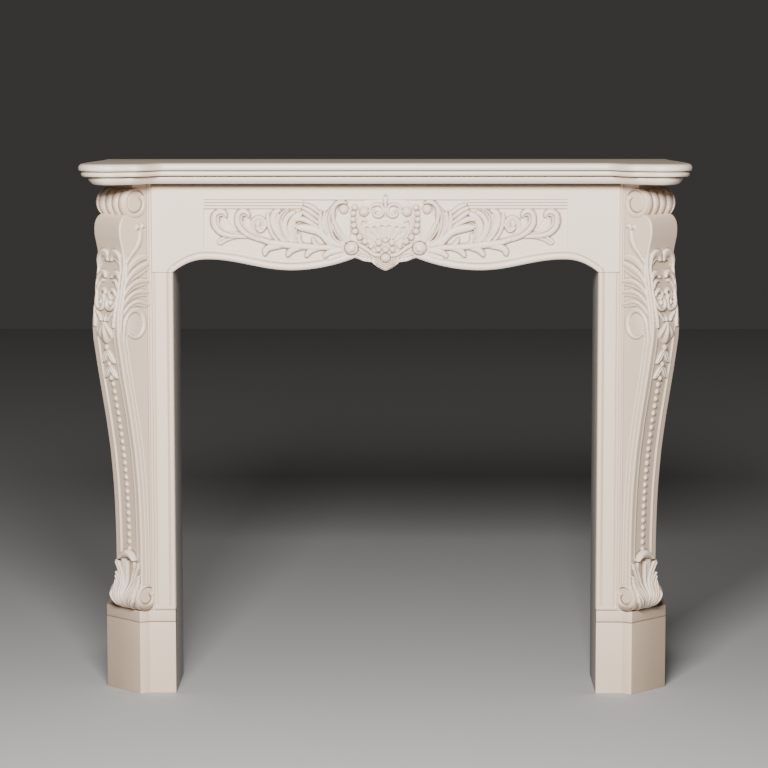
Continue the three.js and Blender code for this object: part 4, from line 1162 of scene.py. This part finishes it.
print("console: knee", FINE_W.max().round(1), "mm out, shaft", float(face_w(300).round(1)), "mm out")

# %% [markdown]
# On the face, leaves and scrolls frame a sunk panel, a bell flower hangs below
# it with two husks, and a string of pearls runs down a channel to the acanthus
# at the foot. Their stops hold the distance out from the middle of the face,
# the height and the width, and one half is mirrored to the other.

# %% Carving on the face
MIDDLE = 40.0  # the ornament's centre line on the face
FRAME_LEAVES = (
    ("body", 8.0, ((36, 862, 7), (36.5, 878, 9), (33, 891, 11), (26, 900, 14), (16, 902, 17),
        (8, 898, 17), (6, 890, 11))),
    ("gouge", 6.0, ((31, 876, 5), (27, 886, 7), (20, 891, 8), (13, 890, 5))),
    ("body", 5.5, ((33, 812, 7), (35.5, 828, 7), (36.5, 845, 7), (36.5, 862, 7), (36, 876, 6))),
    ("body", 7.5, ((37, 842, 6), (32, 855, 10), (23, 862, 12), (14, 861, 11), (10, 855, 7))),
    ("round", 6.5, ((35, 826, 6), (29, 838, 9), (22, 846, 8), (16, 847, 6))),
    ("round", 6.0, ((26, 818, 5), (21, 826, 8), (13, 829, 9), (6, 824, 7), (8, 819, 4))),
    ("round", 8.5, ((34, 822, 6), (31, 806, 9), (24, 795, 10), (13, 791, 10), (5, 797, 10), (4, 808, 10),
        (10, 816, 9), (17, 812, 7))),
    ("round", 8.0, ((14, 799, 7), (15, 803, 9), (14, 807, 7))),
    ("round", 6.0, ((35, 808, 6), (32, 790, 8), (30, 772, 8), (29, 756, 6))),
    ("round", 6.0, ((30, 792, 5), (24, 783, 8), (16, 776, 8), (10, 768, 6))),
)
BELL_STEM = ("body", 6.0, ((0, 776, 7), (0, 768, 8), (0, 760, 9)))
BELL_ROOT, BELL_REACH, BELL_SPREAD = 767.0, 46.0, math.radians(48)
COLLARS = ((776, 6), (765, 10))  # height and half width of the rings cut above the bell
HUSKS = ((705, 683), (673, 652))  # top and tip
CHANNEL_HALF = 24.0
CHANNEL_FOOT = 284.0
CHANNEL_TOP = 752.0
CHANNEL_DEEP = 4.5
FOOT_LEAVES = (
    ("gouge", 8.5, ((5, 178, 9), (10, 205, 12), (17, 232, 13), (24, 252, 14), (31, 263, 12), (36, 268, 6))),
    ("gouge", 9.0, ((9, 178, 9), (16, 200, 13), (24, 220, 14), (32, 235, 14), (38, 243, 8))),
    ("gouge", 9.5, ((15, 175, 9), (24, 190, 15), (32, 203, 18), (37, 216, 15), (38, 227, 8))),
    ("lip_in", 6.0, ((4, 182, 7), (7, 215, 12), (11, 245, 15), (14, 268, 16), (12, 282, 10))),
    ("round", 9.0, ((0, 176, 5), (0, 210, 6), (0, 240, 5), (0, 270, 4))),
)
FOOT_TIP = ("round", 13.0, ((-23, 277, 8), (-13, 284, 14), (0, 287, 17), (13, 284, 14), (23, 277, 8)))
print("face:", len(FRAME_LEAVES + FOOT_LEAVES), "leaves on each half")

# %% [markdown]
# Both sides of a console carry a stem with two small leaves, five long barbs
# that sweep back to the wall, and a scroll that closes round a disc. Here the
# stops hold the distance out along the cant, the height and the width.

# %% Carving on the sides
SIDE_LEAVES = (
    ("lip", 6.0, ((13, 950, 5), (14, 940, 11), (16, 929, 13), (25, 913, 12), (40, 898, 10), (52, 884, 7))),
    ("round", 4.0, ((16, 949, 4), (11, 956, 7), (5, 955, 5))),
    ("round", 4.0, ((16, 949, 4), (22, 955, 6), (27, 951, 4))),
    ("body", 3.6, ((57, 852, 6), (47, 870, 9), (34, 882, 12), (20, 890, 13), (5, 893, 11))),
    ("barb", 7.5, ((63, 820, 6), (58, 836, 10), (49, 848, 15), (36, 858, 20), (21, 866, 23), (4, 874, 20))),
    ("barb", 7.2, ((66, 800, 6), (62, 812, 9), (55, 823, 12), (45, 832, 15), (33, 838, 17), (19, 842, 18),
        (4, 842, 14))),
    ("barb", 7.0, ((68, 782, 6), (63, 794, 9), (55, 805, 11), (44, 814, 13), (32, 819, 15), (19, 821, 16),
        (4, 820, 13))),
    ("barb", 6.8, ((70, 764, 6), (65, 776, 9), (56, 787, 11), (45, 796, 12), (32, 801, 13), (19, 801, 14),
        (5, 797, 12))),
)
SIDE_SCROLL = ("round", 5.0, ((61, 725, 3), (60, 745, 6), (57, 765, 8), (50, 779, 9), (38, 787, 10),
    (25, 787, 11), (14, 779, 12), (9, 765, 12), (10, 750, 11), (17, 739, 9), (28, 733, 7), (40, 734, 6),
    (50, 741, 4)))
SIDE_DISC = (33.0, 757.0, 19.0, 22.0)  # out, height, half width and half height
SIDE_CARVING_GAIN = 1.15
EDGE_LINES = (11.0, 19.3)  # two lines down the shaft, measured back from the face
print("sides:", len(SIDE_LEAVES), "leaves each")

# %% [markdown]
# The same carving tools now raise the leaves on two flat fields, one for the
# face and one for the sides. The bell flower is a fan of flutes, like the shell
# on the frieze, but closed to a tip.

# %% Heights on the face
def bell(a, height):
    """A bell flower: five flutes that spread down from the root and close to a tip."""
    r = np.hypot(a, BELL_ROOT - height)
    lean = np.arctan2(a, BELL_ROOT - height)
    share = np.abs(lean) / BELL_SPREAD
    wave = np.cos(lean / BELL_SPREAD * math.pi * 2.5)
    outline = BELL_REACH - 10 * np.clip(share, 0, 1) ** 2 + 1.2 * wave
    swell = np.sqrt(np.clip(1 - (r / outline) ** 4, 0, 1)) * np.sqrt(np.clip(1 - share**4, 0, 1))
    return -2.0 + swell * (8.0 + 2.0 * wave * ramp(r, 20))


def face_heights(a, height):
    """The face: channel, frame, bell flower, husks and foot leaf."""
    u = np.abs(a)
    channel = ramp(CHANNEL_HALF - u, 1.2) * ramp(height - CHANNEL_FOOT, 2) * ramp(CHANNEL_TOP - height, 30)
    field = -CHANNEL_DEEP * channel
    run = (height > CHANNEL_FOOT - 6) & (height < CHANNEL_TOP)
    rim = np.abs(u - CHANNEL_HALF - 2.2)
    field += np.where(run, groove(rim, 1.4), 0)
    for kind, high, stops in FRAME_LEAVES + FOOT_LEAVES:
        carve(field, u, height, kind, high, stops, 0.0)
    kind, high, stops = BELL_STEM
    carve(field, a, height, kind, high, stops, -2.0, 1.0)
    field = np.maximum(field, bell(a, height))
    for collar, half in COLLARS:
        field -= 4.0 * groove(height - collar, 1.2) * ramp(half - u, 1.5)
    for top, tip in HUSKS:
        husk = ((1, top, 7), (6, top - 6, 11), (12, tip + 6, 11), (17, tip, 6))
        carve(field, u, height, "gouge", 9.0, husk, -CHANNEL_DEEP, 0.9)
    kind, high, stops = FOOT_TIP
    carve(field, a, height, kind, high, stops, 0.0, 1.0)
    return field


# %% Heights on the sides
def side_heights(w, height):
    """A side: stem leaf, barbs, scroll and the two lines along the edge."""
    field = np.zeros_like(w)
    edge = face_w(height) - w
    spine = ramp(height - 735, 30) * ramp(900 - height, 40)
    field = np.maximum(field, 4.4 * spine * np.sqrt(np.clip(1 - ((edge - 6) / 6) ** 2, 0, 1)))
    for kind, high, stops in SIDE_LEAVES:
        carve(field, w, height, kind, high * SIDE_CARVING_GAIN, stops, 0.0, 0.45)
    cw, cz, rw, rz = SIDE_DISC
    disc = np.hypot((w - cw) / rw, (height - cz) / rz)
    field = np.where(disc < 1.02, 2.6 * np.sqrt(np.clip(1.02 - disc, 0, 1)), field)
    kind, high, stops = SIDE_SCROLL
    carve(field, w, height, kind, high, stops, 0.0, 0.3)
    shaft = ramp(745 - height, 20) * ramp(height - 226, 6)
    for away in EDGE_LINES:
        field -= 1.7 * shaft * groove(edge - away, 0.9)
    return field


# %% [markdown]
# The three carved fields are bent round the body like paper: inner side, face,
# outer side, with a small rounding between them and two points at the back that
# close each ring. Carving dies away towards the edges, so the seams stay clean.

# %% Fields of a console
ARRIS = 3.2  # rounding of the long edges
BACK_W = 9.924  # where the outer side starts, in front of the outer return
BACK_CORNER = (14.142, -14.142)
INNER_STEPS, FACE_STEPS, OUTER_STEPS = 50, 66, 40
SIDE_RUN_OUT, FACE_RUN_OUT = 3.0, 2.0
# Rows run from one height to another in steps, which are small where there is carving.
ROW_SPANS = (
    (LEG_Z, 300, 1.4), (300, 560, 6), (560, 700, 1.5), (700, 912, 1.3), (912, 985, 2.2), (985, LEG_TOP, 5),
)


def console_rows():
    """Heights of the rows of a console."""
    rows = [np.linspace(a, b, round((b - a) / step) + 1)[:-1] for a, b, step in ROW_SPANS]
    return np.concatenate(rows + [[LEG_TOP]])


def console_fields(tall, w):
    """Places and carved heights of the inner side, the face and the outer side."""
    count = len(tall)
    w_inner = np.linspace(0, 1, INNER_STEPS)[None, :] * (w - ARRIS)
    w_outer = BACK_W + np.linspace(1, 0, OUTER_STEPS)[None, :] * (w - ARRIS - BACK_W)
    across = np.linspace(ARRIS, CONSOLE_W - ARRIS, FACE_STEPS)[None, :]
    z_inner, z_face, z_outer = (
        np.broadcast_to(tall, (count, steps)).copy() for steps in (INNER_STEPS, FACE_STEPS, OUTER_STEPS)
    )
    inner = side_heights(w_inner, z_inner) * ramp(w - ARRIS - w_inner, SIDE_RUN_OUT)
    outer = side_heights(w_outer, z_outer) * ramp(w - ARRIS - w_outer, SIDE_RUN_OUT)
    outer = outer * ramp(w_outer - BACK_W, SIDE_RUN_OUT)
    face = face_heights(np.broadcast_to(across - MIDDLE, z_face.shape).copy(), z_face)
    face = face * ramp(across - ARRIS, FACE_RUN_OUT) * ramp(CONSOLE_W - ARRIS - across, FACE_RUN_OUT)
    return (w_inner, across, w_outer), [sanded(field) for field in (inner, face, outer)]


# %% Skin of a console
CHANNEL_GLAZE = 0.42
EDGE_WEAR = 0.25
FOOT_GLAZE = 2.5  # glaze where the console stands on the cap


def stack(*parts):
    """Joins places across, places out and heights into points."""
    return np.stack(np.broadcast_arrays(*parts), axis=-1)


def console_body():
    """Points and glaze marks of the body, as rows of rings in U, W and height."""
    rows = console_rows()
    w = face_w(rows)[:, None]
    tall = rows[:, None]
    (w_inner, across, w_outer), (inner, face, outer) = console_fields(tall, w)
    sides = [stack(-inner, w_inner, tall), stack(across, w + face, tall)]
    sides.append(stack(CONSOLE_W + outer, w_outer, tall))
    low, high = (list(marks) for marks in zip(*map(recess_and_ridge, (inner, face, outer))))
    low[1] = np.maximum(low[1], CHANNEL_GLAZE * ramp(-face - 2.0, 2.0))
    turn = np.radians((22.5, 45, 67.5))
    round_u, round_w = ARRIS * (1 - np.sin(turn)), w - ARRIS * (1 - np.cos(turn))
    near = stack(round_u, round_w, tall)[:, ::-1]
    far = stack(CONSOLE_W - round_u, round_w, tall)
    reach = (RETURN_BACK - BOARD) * math.sqrt(2)
    along = CONSOLE_W - BACK_W
    corner = np.array([((reach + along) / 2, (reach - along) / 2), BACK_CORNER])
    back = stack(corner[None, :, 0], corner[None, :, 1], tall)
    plain = np.zeros((len(rows), len(turn)))
    blank = np.zeros((len(rows), len(corner)))
    points = np.concatenate([sides[0], near, sides[1], far, sides[2], back], axis=1)
    low = np.concatenate([low[0], plain, low[1], plain, low[2], blank], axis=1)
    high = np.concatenate([high[0], plain + EDGE_WEAR, high[1], plain + EDGE_WEAR, high[2], blank], axis=1)
    foot = ramp(LEG_Z + FOOT_GLAZE - tall, FOOT_GLAZE)
    return points, np.maximum(low, foot), high


CONSOLE_POINTS, CONSOLE_LOW, CONSOLE_HIGH = console_body()
print("console sheet", CONSOLE_POINTS.shape)


# %% [markdown]
# The volute is a roll of four ribs with a scrolled disc at each end. It is
# turned on its own axis, as on a lathe: half a profile is drawn and spun all
# the way round, and the spiral is then pressed into the end discs.

# %% Turned rolls
SPIRAL_TURN = (0, 60, 105, 150, 240, 330, 375)
SPIRAL_START = 150
VOLUTE = dict(
    radius=29.5, ribs=4, w=31.0, z=1002.0, proud=2.6, spiral=(0.93, 0.84, 0.73, 0.66, 0.64, 0.59, 0.51),
)
FOOT_ROLL = dict(
    radius=25.4, ribs=1, w=11.5, z=199.0, proud=3.0, spiral=(0.96, 0.86, 0.70, 0.56, 0.48, 0.45, 0.38),
)
RIB_ROUND, RIB_VALLEY = 6.5, 7.2  # how far a rib falls off, and the line cut between two
RIM_HIGH, SPIRAL_DEEP = 3.0, 2.8


def groove_gap(r, angle, radius, spiral):
    """Distance from the spiral line, and the line's own radius at that angle."""
    turned = (SPIRAL_START - math.degrees(angle)) % 360
    turns = [t for t in (turned, turned + 360) if t <= SPIRAL_TURN[-1]]
    lines = [radius * np.interp(t, SPIRAL_TURN, spiral) for t in turns]
    line = min(lines, key=lambda own: abs(r - own))
    return abs(r - line), max(lines)


def roll_profile(radius, ribs, proud):
    """Half a section of the roll: end disc, ribs and end disc."""
    rib = CONSOLE_W / ribs
    end = [(-proud, radius * s) for s in np.linspace(0.0, 0.93, 24)]
    end += [(-proud * 0.9, radius * 0.955), (-proud * 0.55, radius * 0.985), (0.0, radius)]
    belly = []
    for i in range(ribs):
        for s in np.linspace(0.03, 0.97, 11):
            swell = math.sqrt(max(0.0, 1 - (2 * s - 1) ** 2))
            belly.append((rib * (i + s), radius - (RIB_ROUND * (1 - swell) if ribs > 1 else 0.0)))
        if i + 1 < ribs:
            belly.append((rib * (i + 1), radius - RIB_VALLEY))
    return end + belly + [(CONSOLE_W - u, r) for u, r in end[::-1]]


def press_spiral(v, r, angle, radius, spiral, recess):
    """Raises the rim of an end disc and sinks the spiral line into it."""
    gap, line = groove_gap(r, angle, radius, spiral)
    middle, half = (line + radius) / 2, (radius - line) / 2
    ring = math.sqrt(max(0.0, 1 - ((r - middle) / half) ** 2)) if r > line else 0.0
    dip = math.exp(-((gap / 1.5) ** 2)) * min(1, r / 4)
    raised = RIM_HIGH * ring - SPIRAL_DEEP * dip - (0.2 if r < line else 0.0)
    v.co.x += -raised if v.co.x < 0 else raised
    v[recess] = min(1, dip * 1.1)


# %% Turning a roll
def roll(bm, radius, ribs, w, z, proud, spiral):
    """Spins the profile, marks the valleys and the discs, and paints shadow under the shelf and over the
    cap.
    """
    recess = bm.verts.layers.float.get("recess") or bm.verts.layers.float.new("recess")
    verts = [bm.verts.new((u, w, z + r)) for u, r in roll_profile(radius, ribs, proud)]
    edges = [bm.edges.new(pair) for pair in zip(verts, verts[1:])]
    bmesh.ops.spin(bm, geom=verts + edges, cent=(0, w, z), axis=(1, 0, 0), angle=2 * math.pi,
                   steps=64, use_merge=True, use_duplicate=False)
    for v in bm.verts:
        dy, dz = v.co.y - w, v.co.z - z
        r = math.hypot(dy, dz)
        outside = max(-v.co.x, v.co.x - CONSOLE_W)
        if outside > proud * 0.95:
            press_spiral(v, r, math.atan2(dz, dy), radius, spiral, recess)
        elif ribs > 1 and r < radius - 4.5 and outside < 0:
            v[recess] = min(1, (radius - 4.5 - r) / 2.2)
        # painted shadow on the top of the volute, under the shelf, and on the bottom of the foot roll, over
        # the cap
        painted_shadow = (z - 8 - v.co.z) / 14 if ribs == 1 else (v.co.z - z - 18) / 30
        v[recess] = max(v[recess], min(0.8, painted_shadow))


def add_roll(body, spec):
    """Turns a roll on its own, then joins it to the console."""
    turned = bmesh.new()
    roll(turned, **spec)
    mesh = bpy.data.meshes.new("turned")
    turned.to_mesh(mesh)
    turned.free()
    body.from_mesh(mesh)
    bpy.data.meshes.remove(mesh)


print("volute", 2 * VOLUTE["radius"], "mm across, foot roll", 2 * FOOT_ROLL["radius"], "mm")

# %% [markdown]
# The pearls hang down the channel like a string of beads, half sunk. Each is an
# icosphere, which stays round with few faces, and three larger ones stand
# between the bell flower and the husks.

# %% Pearls of a console
PEARL_TOP, PEARL_PITCH, PEARL_COUNT, PEARL_R = 637.0, 14.8, 24, 5.6
FACE_PEARLS = ((713, 6.0), (679, 5.3), (650, 5.3))  # height and radius
PEARL_LIFT = 1.6


def add_pearls(body):
    """Sets the pearls into the face and darkens the skin round their backs."""
    recess = body.verts.layers.float.get("recess")
    string = [(PEARL_TOP - PEARL_PITCH * i, PEARL_R) for i in range(PEARL_COUNT)] + list(FACE_PEARLS)
    for height, r in string:
        made = bmesh.ops.create_icosphere(body, subdivisions=3, radius=r)["verts"]
        sunk = CHANNEL_DEEP - PEARL_LIFT if height < PEARL_TOP + 1 else 0.0
        centre = Vector((MIDDLE, float(face_w(height)) - sunk, height))
        bmesh.ops.translate(body, vec=centre, verts=made)
        for v in made:
            v[recess] = min(1, max(0.0, 0.35 - (v.co.y - centre.y) / r))


# %% [markdown]
# A console is put together lying along its own two axes, then turned onto the
# cut-off corner. The right and the left console differ only in that turn, which
# mirrors one of them, so the normals are made to point outwards at the end.

# %% Consoles in place
def console(side):
    """Joins skin, rolls and pearls, and puts them on the corner of a leg."""
    body = bmesh.new()
    sheets = (CONSOLE_POINTS, CONSOLE_LOW, CONSOLE_HIGH)
    ring, low, high = (np.concatenate([part, part[:, :1]], axis=1) for part in sheets)
    sheet_mesh(body, ring, low, high)
    bmesh.ops.remove_doubles(body, verts=[v for v in body.verts if v.is_boundary], dist=0.001)
    bmesh.ops.holes_fill(body, edges=[e for e in body.edges if e.is_boundary], sides=0)
    add_roll(body, VOLUTE)
    add_roll(body, FOOT_ROLL)
    add_pearls(body)
    # across the face runs back and out, out of the face runs forwards and out
    root = math.sqrt(0.5)
    place = Matrix((
        (side * root, side * root, 0, side * CONSOLE_X),
        (root, -root, 0, FACE_Y),
        (0, 0, 1, 0),
        (0, 0, 0, 1)))
    bmesh.ops.transform(body, matrix=place, verts=body.verts)
    bmesh.ops.recalc_face_normals(body, faces=body.faces)
    return body


for label, side in SIDES:
    carved = console(side)
    node = f"{label}_console"
    keep(f"{node}_carved", carved, node, CARVED_PAINT, sharp=50, weld=0.001)


# %% [markdown]
# ## Studio
# A plain pale floor, one wide soft light in front and a little to the left,
# and a dim room. The reveals of the opening carry painted shade in their dark
# cream, for the shade they fall into in a room that is lit from the front.

# %% Floor
FLOOR_GREY = (0.42, 0.42, 0.42, 1)
FLOOR_HALF = 8.0
floor_mesh = bmesh.new()
bmesh.ops.create_grid(floor_mesh, x_segments=1, y_segments=1, size=FLOOR_HALF)
mesh = bpy.data.meshes.new("studio_floor")
floor_mesh.to_mesh(mesh)
floor_mesh.free()
floor = bpy.data.objects.new("studio_floor", mesh)
bpy.context.collection.objects.link(floor)
pale = bpy.data.materials.new("studio_grey")
pale.use_nodes = True
pale.node_tree.nodes["Principled BSDF"].inputs["Base Color"].default_value = FLOOR_GREY
pale.node_tree.nodes["Principled BSDF"].inputs["Roughness"].default_value = 0.8
mesh.materials.append(pale)
print("floor", 2 * FLOOR_HALF, "m wide")

# %% Light
KEY_PLACE, KEY_AIM, KEY_SIZE, KEY_WATTS = (-0.2, -3.0, 1.95), (0, 0, 0.68), (1.2, 0.6), 250
KEY_WHITE = (1.0, 0.985, 0.965)
ROOM_WHITE, ROOM_STRENGTH = (0.86, 0.83, 0.80, 1), 0.05


def area_light(name, place, target, size, power, colour):
    """A soft rectangular light that is turned towards a point."""
    lamp = bpy.data.lights.new(name, "AREA")
    lamp.shape = "RECTANGLE"
    lamp.size, lamp.size_y = size
    lamp.energy = power
    lamp.color = colour
    lit = bpy.data.objects.new(name, lamp)
    aim = Vector(target) - Vector(place)
    lit.matrix_world = Matrix.Translation(place) @ aim.to_track_quat("-Z", "Y").to_matrix().to_4x4()
    bpy.context.collection.objects.link(lit)


area_light("key", KEY_PLACE, KEY_AIM, KEY_SIZE, KEY_WATTS, KEY_WHITE)
world = bpy.data.worlds.new("studio")
bpy.context.scene.world = world
world.use_nodes = True
world.node_tree.nodes["Background"].inputs["Color"].default_value = ROOM_WHITE
world.node_tree.nodes["Background"].inputs["Strength"].default_value = ROOM_STRENGTH
print("key light", KEY_WATTS, "W")
